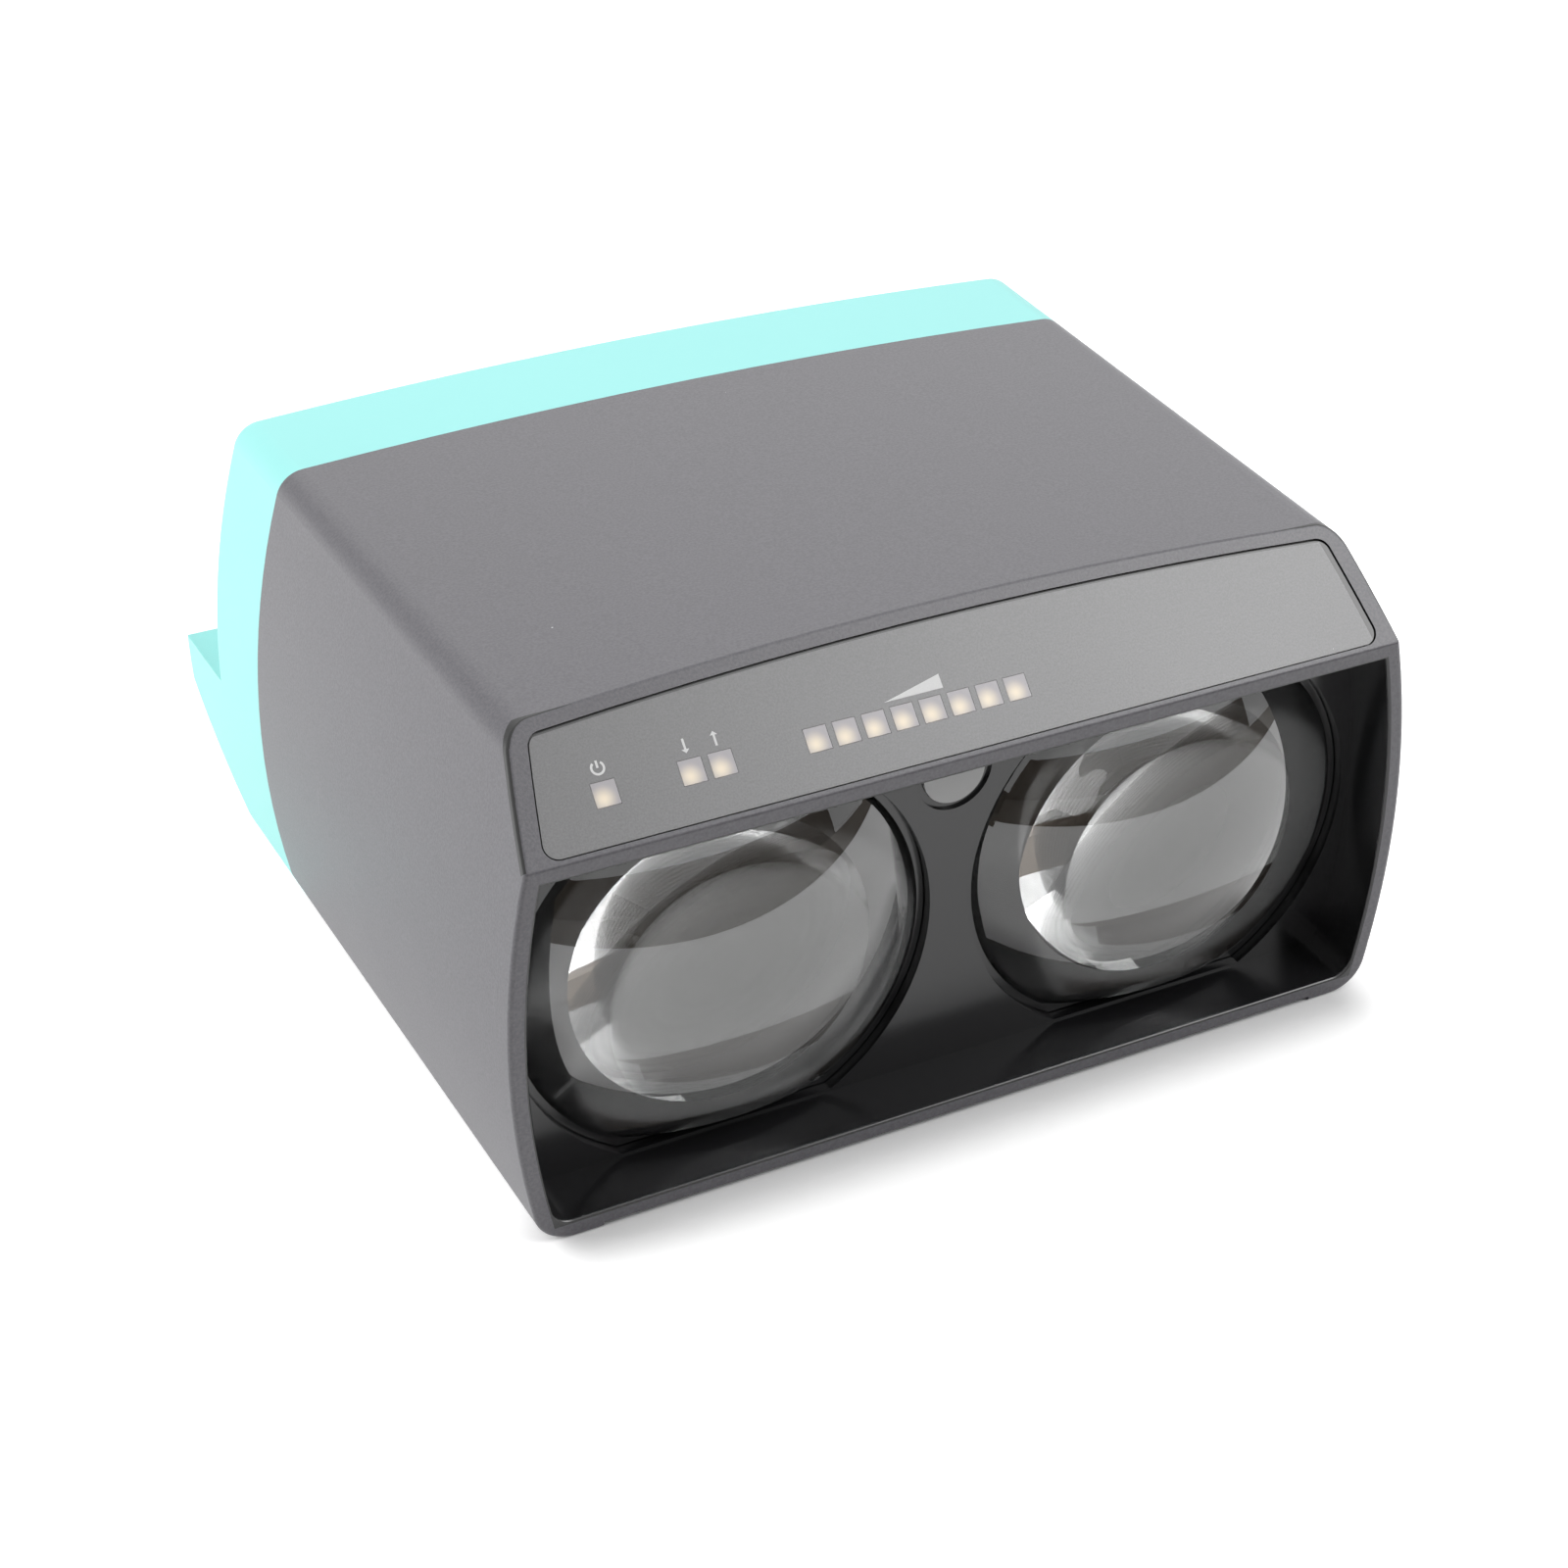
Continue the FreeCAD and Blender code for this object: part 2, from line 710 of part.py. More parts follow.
def front_hood():
    rib = form(seal_rib_back - seal_rib, seal_rib_back, wall / 2, base=floor_wall / 2)
    rib = rib.cut(form(seal_rib_back - seal_rib, seal_rib_back, wall + seal_rib, base=floor_wall + seal_rib))
    shapes = [hood_shell(), rib]
    shapes += [hood_screw_boss(x, z) for x, z in screw_places()]
    for x, y in mount_places:
        shapes.append(Part.makeCylinder(mount_boss_radius, mount_boss_height, V(x, y, 0)))
    for x, z in chassis_screw_places():
        shapes.append(rod(x, z, chassis_boss_radius, bulkhead_back, flange_back - clamp_gap))
    for u, v in panel_posts():
        shapes.append(slope_rod(u, v, panel_post_radius, panel_board_front, wall))
    cutters = [panel_plate(0, overlay_recess, -edge_round)]
    cutters += [lamp_block(u, lamp_window, wall, 0) for u in lamp_rows()]
    cutters += [barrel(x, hole_radius, hole_flat, bulkhead_front, bulkhead_back) for x in lens_places]
    groove_end = bulkhead_front + aim_groove_depth
    cutters.append(rod(0, aim_height, aim_radius + aim_groove, bulkhead_front, groove_end))
    cutters.append(rod(0, aim_height, aim_radius + aim_fit, bulkhead_front, bulkhead_back))
    for x, z in screw_places():
        cutters.append(rod(x, z, screw_radius + insert_wall, hood_depth - insert_length, hood_depth))
        cutters.append(rod(x, z, screw_radius + screw_clearance, screw_grip_start, hood_depth))
    for x, y in mount_places:
        cutters.append(Part.makeCylinder(mount_insert_radius, mount_insert_length, V(x, y, 0)))
    for x, z in chassis_screw_places():
        cutters.append(rod(x, z, small_screw_radius, flange_back - small_screw_grip, flange_back))
    for u, v in panel_posts():
        tip = panel_board_back - panel_screw_grip
        cutters.append(slope_rod(u, v, panel_screw_radius, panel_board_front, tip))
    return without(joined(shapes), cutters)


def chassis_screw(x, z):
    head = rod(x, z, clamp_head_radius, flange_back, flange_back + small_head_length)
    shank = rod(x, z, small_screw_radius, flange_back - small_screw_grip, flange_back)
    return head.fuse(shank).removeSplitter()


def hood_insert(x, z):
    sleeve = rod(x, z, screw_radius + insert_wall, hood_depth - insert_length, hood_depth)
    return sleeve.cut(rod(x, z, screw_radius, hood_depth - insert_length, hood_depth))


def mounting_insert(x, y):
    sleeve = Part.makeCylinder(mount_insert_radius, mount_insert_length, V(x, y, 0))
    return sleeve.cut(Part.makeCylinder(mount_core_radius, mount_core_depth, V(x, y, 0)))


# Rear housing

def chamfer_depth(z, inset):
    """Depth of the slanted connector face at a height, moved in along its normal."""
    return overall_depth - (chamfer_top - z) / math.tan(slant) - inset / math.sin(slant)


def chamfer_rise(y, inset):
    return chamfer_top + (y - overall_depth + inset / math.sin(slant)) * math.tan(slant)


def rear_outline(inset, floor):
    back = overall_depth - inset
    step = upper_back - inset
    return [
        (hood_depth, floor),
        (chamfer_depth(floor, inset), floor),
        (back, chamfer_rise(back, inset)),
        (back, ledge_height - inset),
        (step, ledge_height - inset),
        (step, height),
        (hood_depth, height),
    ]


def rounded_rear():
    """Outer form of the rear housing, with its back edges rounded."""
    body = form(hood_depth, overall_depth).common(side_prism(rear_outline(0, 0), width))
    edges = []
    for edge in body.Edges:
        ends = [edge.valueAt(edge.FirstParameter), edge.valueAt(edge.LastParameter)]
        on_step = all(abs(end.y - upper_back) < 0.001 for end in ends)
        on_back = all(abs(end.y - overall_depth) < 0.001 for end in ends)
        inner_corner = on_step and all(abs(end.z - ledge_height) < 0.001 for end in ends)
        if (on_step or on_back) and not inner_corner:
            edges.append(edge)
    return body.makeFillet(rear_edge_round, edges)


def connector_axis():
    """Point on the slanted face where a connector's axis leaves it, and the way out."""
    point = (chamfer_depth(connector_height, 0), connector_height)
    return point, V(0, math.sin(slant), -math.cos(slant))


def at_connector(shape, x):
    """Place a shape drawn along Z on a connector's axis, with Z pointing out."""
    (y, z), out = connector_axis()
    placed = shape.copy()
    place = FreeCAD.Placement(V(x, y, z), FreeCAD.Rotation(V(0, 0, 1), out))
    placed.Placement = place.multiply(shape.Placement)
    return placed


def connector_places():
    return (-connector_spacing / 2, connector_spacing / 2)


def main_posts():
    rows = (ledge_height + main_post_lift, main_board_high - main_post_drop)
    return [(x, z) for x in (-main_post_across, main_post_across) for z in rows]


def rear_housing():
    inside = form(hood_depth, overall_depth, wall, base=floor_wall)
    inside = inside.common(side_prism(rear_outline(wall, floor_wall), width))
    shell = rounded_rear().cut(inside)
    outer = wall + lip_gap
    inner = outer + lip_wall
    floor_outer = floor_wall + lip_gap
    floor_inner = floor_outer + lip_wall
    start, end = hood_depth - lip_length, hood_depth + lip_root
    lip = form(start, end, outer, base=floor_outer).cut(form(start, end, inner, base=floor_inner))
    root = form(hood_depth, end, wall / 2, base=floor_wall / 2)
    root = root.cut(form(hood_depth, end, inner, base=floor_inner))
    solid = form(hood_depth, overall_depth, wall / 2, base=floor_wall / 2)
    solid = solid.common(side_prism(rear_outline(wall / 2, floor_wall / 2), width))
    shapes = [shell, lip, root]
    for x, z in screw_places():
        shapes.append(rod(x, z, screw_boss_radius, hood_depth, overall_depth).common(solid))
    for x, z in main_posts():
        shapes.append(rod(x, z, main_post_radius, main_board_back, upper_back - wall / 2))
    cutters = [base_hollow(hood_depth, overall_depth)]
    for x, z in screw_places():
        seat = hood_depth + screw_head_seat
        cutters.append(rod(x, z, screw_radius + screw_clearance, hood_depth, seat))
        cutters.append(rod(x, z, screw_head_radius + screw_clearance, seat, overall_depth))
    for x, z in main_posts():
        cutters.append(rod(x, z, small_screw_radius, main_board_back, main_board_depth + small_screw_grip))
    for x in connector_places():
        hole = Part.makeCylinder(body_radius + body_gap, 2 * wall, V(0, 0, -2 * wall))
        cutters.append(at_connector(hole, x))
    return without(joined(shapes), cutters)


def housing_gasket():
    start, end = seal_rib_back, seal_rib_back + gasket_thickness
    outer = wall + gasket_gap
    inner = wall + lip_gap + lip_wall
    floor_outer = floor_wall + gasket_gap
    floor_inner = floor_wall + lip_gap + lip_wall
    return form(start, end, outer, base=floor_outer).cut(form(start, end, inner, base=floor_inner))


def housing_screw(x, z):
    """Socket head screw from the back of the rear housing into the hood."""
    seat = hood_depth + screw_head_seat
    end = seat + screw_head_length
    head = rod(x, z, screw_head_radius, seat, end)
    key = hexagon(screw_key, screw_key_depth)
    key.Placement = FreeCAD.Placement(V(x, end, z), FreeCAD.Rotation(V(1, 0, 0), 90))
    shank = rod(x, z, screw_radius, screw_grip_start, seat)
    return head.cut(key).fuse(shank).removeSplitter()


# Boards inside

def optics_board(x):
    half_w, half_h = optics_board_width / 2, optics_board_height / 2
    low, high = lens_height - half_h, lens_height + half_h
    start, end = plate_back, optics_board_back
    board = block(x - half_w, x + half_w, start, end, low, high)
    return without(board, [rod(px, pz, small_screw_radius, start, end) for px, pz in optics_screw_places()])


def diode(x):
    """Metal can with a rim that looks along the light tube."""
    can = rod(x, lens_height, diode_radius - diode_rim, plate_back - diode_length, plate_back)
    rim = rod(x, lens_height, diode_radius, plate_back - diode_rim_length, plate_back)
    return can.fuse(rim).removeSplitter()


def main_board():
    half = main_board_half
    start, end = main_board_depth, main_board_back
    board = block(-half, half, start, end, main_board_low, main_board_high)
    return without(board, [rod(x, z, small_screw_radius, start, end) for x, z in main_posts()])


def main_board_components():
    """Chips, magnetics and capacitors on the back of the main board."""
    middle = (main_board_low + main_board_high) / 2
    shapes = []
    for x, rise, wide, tall, thick in board_chips:
        z = middle + rise
        back = main_board_back + thick
        shapes.append(block(x - wide / 2, x + wide / 2, main_board_back, back, z - tall / 2, z + tall / 2))
    for i in range(capacitors):
        x = capacitor_pitch * (i - (capacitors - 1) / 2)
        z = middle - capacitor_drop
        shapes.append(rod(x, z, capacitor_radius, main_board_back, main_board_back + capacitor_length))
    return shapes


def board_header(x):
    z = lens_height - header_drop
    half_w, half_h = header_width / 2, header_height / 2
    return block(x - half_w, x + half_w, optics_board_back, main_board_depth, z - half_h, z + half_h)


def indicator_ribbon():
    """Flat cable from the indicator board to the main board, with a socket at each end."""
    along = lamp_along + board_reach - ribbon_socket
    low_u, high_u = ribbon_across - ribbon_width / 2, ribbon_across + ribbon_width / 2
    deep, shallow = panel_board_back + ribbon_socket, panel_board_back
    first = slope_block(low_u, high_u, along, along + ribbon_socket, deep, shallow)
    box = first.BoundBox
    run_z = box.ZMin + ribbon_socket / 2
    end = main_board_depth - ribbon_socket
    run = block(low_u, high_u, (box.YMin + box.YMax) / 2, end, run_z, run_z + ribbon_thickness)
    low_z, high_z = run_z - ribbon_socket / 2, run_z + ribbon_socket / 2
    second = block(low_u, high_u, end, main_board_depth, low_z, high_z)
    return joined([first, run, second])


# Connectors

def pipe(radius, z0, z1):
    return Part.makeCylinder(radius, z1 - z0, V(0, 0, z0))


def connector_shell():
    """Metal body: threaded end outside, hexagon on the face, mounting thread through the wall."""
    hexagon_end = face_seal + connector_flange
    body = joined([
        hexagon(connector_hex, hexagon_end, face_seal),
        pipe(thread_radius, hexagon_end, connector_tip),
        pipe(body_radius, connector_tail, face_seal),
    ])
    return body.cut(pipe(socket_radius, connector_tail, connector_tip))


def connector_seal():
    """Flat rubber ring between the hexagon and the face of the housing."""
    return pipe(body_radius + face_seal_width, 0, face_seal).cut(pipe(body_radius, 0, face_seal))


def connector_insert(front, contacts):
    """Plastic contact carrier with a key slot, and a hole for each contact."""
    radius = socket_radius - insert_fit
    body = pipe(radius, connector_tail, front)
    key = block(-key_width / 2, key_width / 2, radius - key_height, radius, front - key_height, front)
    holes = [pipe(contact_radius, connector_tail, front) for i in range(contacts)]
    holes = [hole.translated(place) for hole, place in zip(holes, contact_places(contacts))]
    return without(body, holes + [key])


def contact_places(contacts):
    turn = [math.radians(45 + 360.0 * i / contacts) for i in range(contacts)]
    return [V(contact_circle * math.cos(angle), contact_circle * math.sin(angle), 0) for angle in turn]


def connector_contacts(contacts, front):
    tail = connector_tail - contact_tail
    return [pipe(contact_radius, tail, front).translated(place) for place in contact_places(contacts)]


def connector_nut():
    body = hexagon(nut_hex, -wall, -(wall + nut_thickness))
    return body.cut(pipe(body_radius, -(wall + nut_thickness), -wall))


# Housing
export("front_hood", front_hood())
export("rear_housing", rear_housing())
export("housing_gasket", housing_gasket())
export("hood_inserts", *[hood_insert(x, z) for x, z in screw_places()])
export("housing_screws", *[housing_screw(x, z) for x, z in screw_places()])
export("mounting_inserts", *[mounting_insert(x, y) for x, y in mount_places])

# Indicator panel
overlay = panel_plate(overlay_gap, overlay_recess, overlay_recess - overlay_thickness)
overlay = without(overlay, [lamp_block(u, lamp_window, wall, 0) for u in lamp_rows()])
export("indicator_overlay", overlay)
for name, (first, count) in zip(("power", "link", "signal"), lamp_groups):
    export(name + "_light_guide", light_guide(first, count))
export("indicator_board", indicator_board())
export("indicator_leds", *[lamp_block(u, led_size, panel_board_front, led_front) for u in lamp_rows()])
export("indicator_screws", *[indicator_screw(u, v) for u, v in panel_posts()])
export("indicator_ribbon", indicator_ribbon())

# Optics
export("optics_chassis", optics_chassis())
export("chassis_screws", *[chassis_screw(x, z) for x, z in chassis_screw_places()])
for name, diode_name, x in zip(("transmitter", "receiver"), ("emitter", "receiver"), lens_places):
    export(name + "_lens", lens(x))
    export(name + "_lens_seal", lens_seal(x))
    export(diode_name + "_board", optics_board(x))
    export(diode_name + "_diode", diode(x))
screws = [small_screw(x, z, optics_board_back, 1, small_screw_grip) for x, z in optics_screw_places()]
aim_grip = flange_wall + circuit_wall - aim_screw_gap
screws += [small_screw(x, z, flange_back + circuit_wall, 1, aim_grip) for x, z in aim_screw_places()]
export("optics_board_screws", *screws)
export("aiming_lamp_window", aiming_lamp_window())
export("aiming_lamp_board", aiming_lamp_board())
export("aiming_lamp_led", aiming_lamp_led())

# Main board
export("main_board", main_board())
export("main_board_components", *main_board_components())
screws = [small_screw(x, z, main_board_depth, -1, small_screw_grip) for x, z in main_posts()]
export("main_board_screws", *screws)
export("board_headers", *[board_header(x) for x in lens_places])

# Connectors
contact_front = connector_tip - contact_inset
connectors = (
    ("supply", connector_tip - socket_depth, supply_contacts),
    ("data", contact_front, data_contacts),
)
for (name, front, contacts), x in zip(connectors, connector_places()):
    export(name + "_connector_shell", at_connector(connector_shell(), x))
    export(name + "_connector_insert", at_connector(connector_insert(front, contacts), x))
    pins = connector_contacts(contacts, contact_front)
    export(name + "_connector_contacts", *[at_connector(pin, x) for pin in pins])
    export(name + "_connector_seal", at_connector(connector_seal(), x))
    export(name + "_connector_nut", at_connector(connector_nut(), x))
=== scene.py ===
import bpy
import bmesh
import math
from mathutils import Matrix, Vector


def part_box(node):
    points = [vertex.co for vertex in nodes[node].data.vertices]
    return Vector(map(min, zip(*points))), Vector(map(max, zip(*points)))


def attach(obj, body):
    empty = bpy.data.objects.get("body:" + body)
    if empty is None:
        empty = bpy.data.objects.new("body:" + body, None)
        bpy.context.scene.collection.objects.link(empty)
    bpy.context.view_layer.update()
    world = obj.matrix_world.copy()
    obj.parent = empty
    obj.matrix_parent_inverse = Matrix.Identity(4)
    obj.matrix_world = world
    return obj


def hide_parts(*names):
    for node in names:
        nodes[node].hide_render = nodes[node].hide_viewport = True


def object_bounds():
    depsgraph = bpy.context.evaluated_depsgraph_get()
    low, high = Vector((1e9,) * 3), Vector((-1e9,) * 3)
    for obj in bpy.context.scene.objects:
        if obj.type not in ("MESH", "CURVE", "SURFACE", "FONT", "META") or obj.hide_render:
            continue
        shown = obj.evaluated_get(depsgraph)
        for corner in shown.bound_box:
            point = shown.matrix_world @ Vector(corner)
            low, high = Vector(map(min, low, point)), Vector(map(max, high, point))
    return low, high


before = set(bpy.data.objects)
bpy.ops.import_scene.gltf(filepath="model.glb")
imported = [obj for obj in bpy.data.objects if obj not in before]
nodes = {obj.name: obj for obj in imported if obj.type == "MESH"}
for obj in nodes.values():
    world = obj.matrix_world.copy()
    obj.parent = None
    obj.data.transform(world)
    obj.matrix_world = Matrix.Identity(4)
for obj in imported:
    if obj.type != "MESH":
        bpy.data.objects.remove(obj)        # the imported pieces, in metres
cadBox = [list(corner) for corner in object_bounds()]
scene = bpy.context.scene
mm = 0.001


# Node and mesh helpers

def addNode(tree, kind, inputs=None, **settings):
    made = tree.nodes.new(kind)
    for key, value in settings.items():
        setattr(made, key, value)
    for key, value in (inputs or {}).items():
        if isinstance(value, bpy.types.NodeSocket):
            tree.links.new(value, made.inputs[key])
        else:
            made.inputs[key].default_value = value
    return made


def maths(tree, operation, first, second=0.0, third=0.0, clamp=False):
    inputs = {0: first, 1: second, 2: third}
    return addNode(tree, "ShaderNodeMath", inputs, operation=operation, use_clamp=clamp).outputs[0]


def spread(tree, value, low, high, to0=0.0, to1=1.0):
    inputs = {"Value": value, "From Min": low, "From Max": high, "To Min": to0, "To Max": to1}
    return addNode(tree, "ShaderNodeMapRange", inputs, interpolation_type="SMOOTHSTEP").outputs[0]


def mixColor(tree, factor, first, second):
    return addNode(tree, "ShaderNodeMix", {0: factor, 6: first, 7: second}, data_type="RGBA").outputs[2]


def mixValue(tree, factor, first, second):
    return addNode(tree, "ShaderNodeMix", {0: factor, 2: first, 3: second}, data_type="FLOAT").outputs[0]


def objectPlace(tree):
    return addNode(tree, "ShaderNodeTexCoord").outputs["Object"]


def axes(tree, place):
    return addNode(tree, "ShaderNodeSeparateXYZ", {0: place}).outputs


def noise(tree, place, scale, detail=2.0, rough=0.5):
    inputs = {"Vector": place, "Scale": scale, "Detail": detail, "Roughness": rough}
    return addNode(tree, "ShaderNodeTexNoise", inputs).outputs["Fac"]


def grey(level):
    return (level, level, level, 1.0)


def newGroup(name, inputs, outputs):
    group = bpy.data.node_groups.new(name, "ShaderNodeTree")
    for label, kind, value in inputs:
        socket = group.interface.new_socket(name=label, in_out="INPUT", socket_type="NodeSocket" + kind)
        if value is not None:
            socket.default_value = value
    for label, kind in outputs:
        group.interface.new_socket(name=label, in_out="OUTPUT", socket_type="NodeSocket" + kind)
    return group, group.nodes.new("NodeGroupInput").outputs, group.nodes.new("NodeGroupOutput").inputs


def useGroup(tree, group, **inputs):
    made = tree.nodes.new("ShaderNodeGroup")
    made.node_tree = group
    for key, value in inputs.items():
        if isinstance(value, bpy.types.NodeSocket):
            tree.links.new(value, made.inputs[key])
        else:
            made.inputs[key].default_value = value
    return made.outputs


def newMaterial(name, **constants):
    made = bpy.data.materials.new(name)
    made.use_nodes = True
    tree = made.node_tree
    shader = tree.nodes["Principled BSDF"]
    for key, value in constants.items():
        shader.inputs[key].default_value = value
    return made, tree, shader.inputs


def bump(tree, height, distance, strength=1.0):
    inputs = {"Height": height, "Distance": distance, "Strength": strength}
    return addNode(tree, "ShaderNodeBump", inputs).outputs[0]


def paint(material, *names):
    for name in names:
        nodes[name].material_slots[0].material = material


def addPiece(name, shell, material, smoothAngle=35.0):
    mesh = bpy.data.meshes.new(name)
    shell.to_mesh(mesh)
    shell.free()
    mesh.shade_smooth()
    mesh.set_sharp_from_angle(angle=math.radians(smoothAngle))
    mesh.materials.append(material)
    piece = bpy.data.objects.new(name, mesh)
    scene.collection.objects.link(piece)
    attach(piece, "root")
    return piece


# Effects that several finishes share

def makeMouldTexture():
    group, given, out = newGroup(
        "mouldTexture",
        [("Vector", "Vector", None), ("Fineness", "Float", 2600.0)],
        [("Height", "Float"), ("Tone", "Float")],
    )
    coarse = noise(group, given["Vector"], given["Fineness"], 2.0)
    fine = noise(group, given["Vector"], maths(group, "MULTIPLY", given["Fineness"], 3.1), 1.0)
    group.links.new(maths(group, "ADD", maths(group, "MULTIPLY", fine, 0.4), coarse), out["Height"])
    group.links.new(noise(group, given["Vector"], 23.0, 3.0), out["Tone"])
    return group


def makeDust():
    group, given, out = newGroup(
        "dustSpecks",
        [
            ("Vector", "Vector", None),
            ("Cells", "Float", 90.0),
            ("Size", "Float", 0.02),
            ("Share", "Float", 0.3),
        ],
        [("Mask", "Float")],
    )
    inputs = {"Vector": given["Vector"], "Scale": given["Cells"]}
    cells = addNode(group, "ShaderNodeTexVoronoi", inputs)
    draw = addNode(group, "ShaderNodeSeparateColor", {0: cells.outputs["Color"]}).outputs
    size = maths(group, "MULTIPLY", given["Size"], maths(group, "MULTIPLY_ADD", draw["Green"], 0.8, 0.2))
    near = maths(group, "LESS_THAN", cells.outputs["Distance"], size)
    drawn = maths(group, "LESS_THAN", draw["Red"], given["Share"])
    group.links.new(maths(group, "MULTIPLY", near, drawn), out["Mask"])
    return group


def makeScuffs():
    group, given, out = newGroup(
        "hairScuffs",
        [
            ("Vector", "Vector", None),
            ("Length", "Float", 60.0),
            ("Width", "Float", 2400.0),
            ("Turn", "Float", 0.5),
        ],
        [("Mask", "Float")],
    )
    turned = addNode(group, "ShaderNodeVectorRotate", {"Vector": given["Vector"], "Angle": given["Turn"]})
    inputs = {0: given["Length"], 1: given["Width"], 2: given["Length"]}
    stretch = addNode(group, "ShaderNodeCombineXYZ", inputs)
    inputs = {0: turned.outputs[0], 1: stretch.outputs[0]}
    drawn = addNode(group, "ShaderNodeVectorMath", inputs, operation="MULTIPLY")
    lines = noise(group, drawn.outputs[0], 1.0, 1.0)
    patches = noise(group, given["Vector"], 31.0, 2.0)
    hair = spread(group, lines, 0.70, 0.78)
    group.links.new(maths(group, "MULTIPLY", hair, spread(group, patches, 0.52, 0.66)), out["Mask"])
    return group


mouldTexture = makeMouldTexture()
dustSpecks = makeDust()
hairScuffs = makeScuffs()
print("shared effects ready")


# Slope of the indicator panel

panel = {
    "foot": Vector((0.0, -76.3, 70.0)) * mm,   # middle of the panel's lower crease
    "slope": math.radians(44.6),
    "filmDrop": 0.2 * mm,        # slope to the film's face
    "pocketDrop": 0.05 * mm,     # below this the hood is painted dark round the film, as shade in the gap
    "pocketDepth": 1.2 * mm,
    "pocketFrom": 0.3 * mm,
    "pocketTo": 23.0 * mm,
    "cutDrop": 0.03 * mm,        # face of the film to its cut edge, painted dark as shade in the gap
    "inkThickness": 0.03 * mm,
    "crownFall": 0.57,           # drop of the upper edge to the sides, per metre
    "topShadowFrom": 22.3 * mm,        # painted shadow along the top edge of the film
    "endShadowInset": 4.5 * mm,         # side of the hood to the painted shadow at the film's right end
    "film": (0.112, 0.112, 0.115, 1.0),
    "filmLight": (0.152, 0.152, 0.155, 1.0),
    "filmRough": 0.34,
    "filmIndex": 1.72,
    "ink": (0.80, 0.80, 0.80, 1.0),
    "inkThin": (0.70, 0.70, 0.70, 1.0),
    "rowHeight": 12.75 * mm,     # middle of the symbols, up the slope
    "powerAt": -61.4 * mm,
    "receiveAt": -47.5 * mm,
    "sendAt": -42.55 * mm,
    "signalFrom": -14.4 * mm,
    "signalTo": -4.2 * mm,
    "lampRow": 8.75 * mm,        # middle of the lamp windows, up the slope
    "lampPitch": 4.95 * mm,
    "signalLamp": -26.8 * mm,    # first of the eight signal lamps
    "glowShift": (-0.5 * mm, -0.75 * mm),
    "glowRadius": 2.5 * mm,
    "glow": (1.0, 0.88, 0.70, 1.0),
    "guide": (0.42, 0.40, 0.42, 1.0),
    "guideLight": (0.47, 0.45, 0.47, 1.0),
    "package": (0.95, 0.80, 0.52, 1.0),
    "packageLight": (1.0, 0.90, 0.68, 1.0),
    "symbolTall": 2.3 * mm,
    "line": 0.36 * mm,
    "arrowHead": 0.62 * mm,
    "powerGap": math.radians(38),
}
panelMatrix = Matrix.Translation(panel["foot"]) @ Matrix.Rotation(panel["slope"], 4, "X")


def onSlope(tree, place):
    x, y, z = axes(tree, place)
    deep = maths(tree, "SUBTRACT", y, panel["foot"].y)
    rise = maths(tree, "SUBTRACT", z, panel["foot"].z)
    cosine, sine = math.cos(panel["slope"]), math.sin(panel["slope"])
    up = maths(tree, "MULTIPLY_ADD", deep, cosine, maths(tree, "MULTIPLY", rise, sine))
    out = maths(tree, "MULTIPLY_ADD", deep, -sine, maths(tree, "MULTIPLY", rise, cosine))
    return up, out


# painted shade: the band just under the slope face, where the gap round the film is painted dark
def gapShadeMask(tree, place, drop):
    up, out = onSlope(tree, place)
    half = panel["pocketDepth"] / 2
    below = maths(tree, "LESS_THAN", maths(tree, "ABSOLUTE", maths(tree, "ADD", out, drop + half)), half)
    over = maths(tree, "GREATER_THAN", up, panel["pocketFrom"])
    under = maths(tree, "LESS_THAN", up, panel["pocketTo"])
    return maths(tree, "MULTIPLY", below, maths(tree, "MULTIPLY", over, under))


# Black hood: spark-textured outside, polished recess painted darker as shade, painted shade round the film

hood = {
    "index": 1.62,
    "outer": (0.058, 0.056, 0.065, 1.0),
    "outerLight": (0.112, 0.108, 0.121, 1.0),
    # painted shade: the recess is the same plastic as the outside, painted darker
    "recess": (0.012, 0.012, 0.013, 1.0),
    # painted shade in the gap round the film and on the film's edges
    "pocket": (0.002, 0.002, 0.002, 1.0),
    "front": -0.0763,
    "draft": math.tan(math.radians(2.26)),
    "skinArc": 0.156,            # arc of the sides
    "sideArc": 0.1535,           # arc of the recess sides, a little proud of the wall
    "sideCentre": -0.0748,
    "widest": 0.0339,
    "recessBack": -0.0625,
    "recessTop": 0.0678,
    "recessFloor": 0.0028,       # the polish and the painted shade reach the rounding of the lip
    "roughOuter": 0.38,
    "roughRecess": 0.20,
    "grain": 2300.0,
    "grainDepth": 0.00002,
}


def sideReach(tree, place, arc):
    x, y, z = axes(tree, place)
    rise = maths(tree, "SUBTRACT", z, hood["widest"])
    span = maths(tree, "SUBTRACT", arc ** 2, maths(tree, "MULTIPLY", rise, rise))
    opening = maths(tree, "MULTIPLY_ADD", y, hood["draft"], hood["sideCentre"] - hood["front"] * hood["draft"])
    return maths(tree, "ADD", maths(tree, "SQRT", span), opening)


def recessMask(tree, place):
    x, y, z = axes(tree, place)
    inside = maths(tree, "LESS_THAN", maths(tree, "ABSOLUTE", x), sideReach(tree, place, hood["sideArc"]))
    front = maths(tree, "LESS_THAN", y, hood["recessBack"])
    under = maths(tree, "LESS_THAN", z, hood["recessTop"])
    over = maths(tree, "GREATER_THAN", z, hood["recessFloor"])
    return maths(tree, "MULTIPLY", maths(tree, "MULTIPLY", inside, front), maths(tree, "MULTIPLY", under, over))


def facingUp(tree):
    normal = addNode(tree, "ShaderNodeNewGeometry").outputs["Normal"]
    return spread(tree, axes(tree, normal)["Z"], 0.35, 0.75)


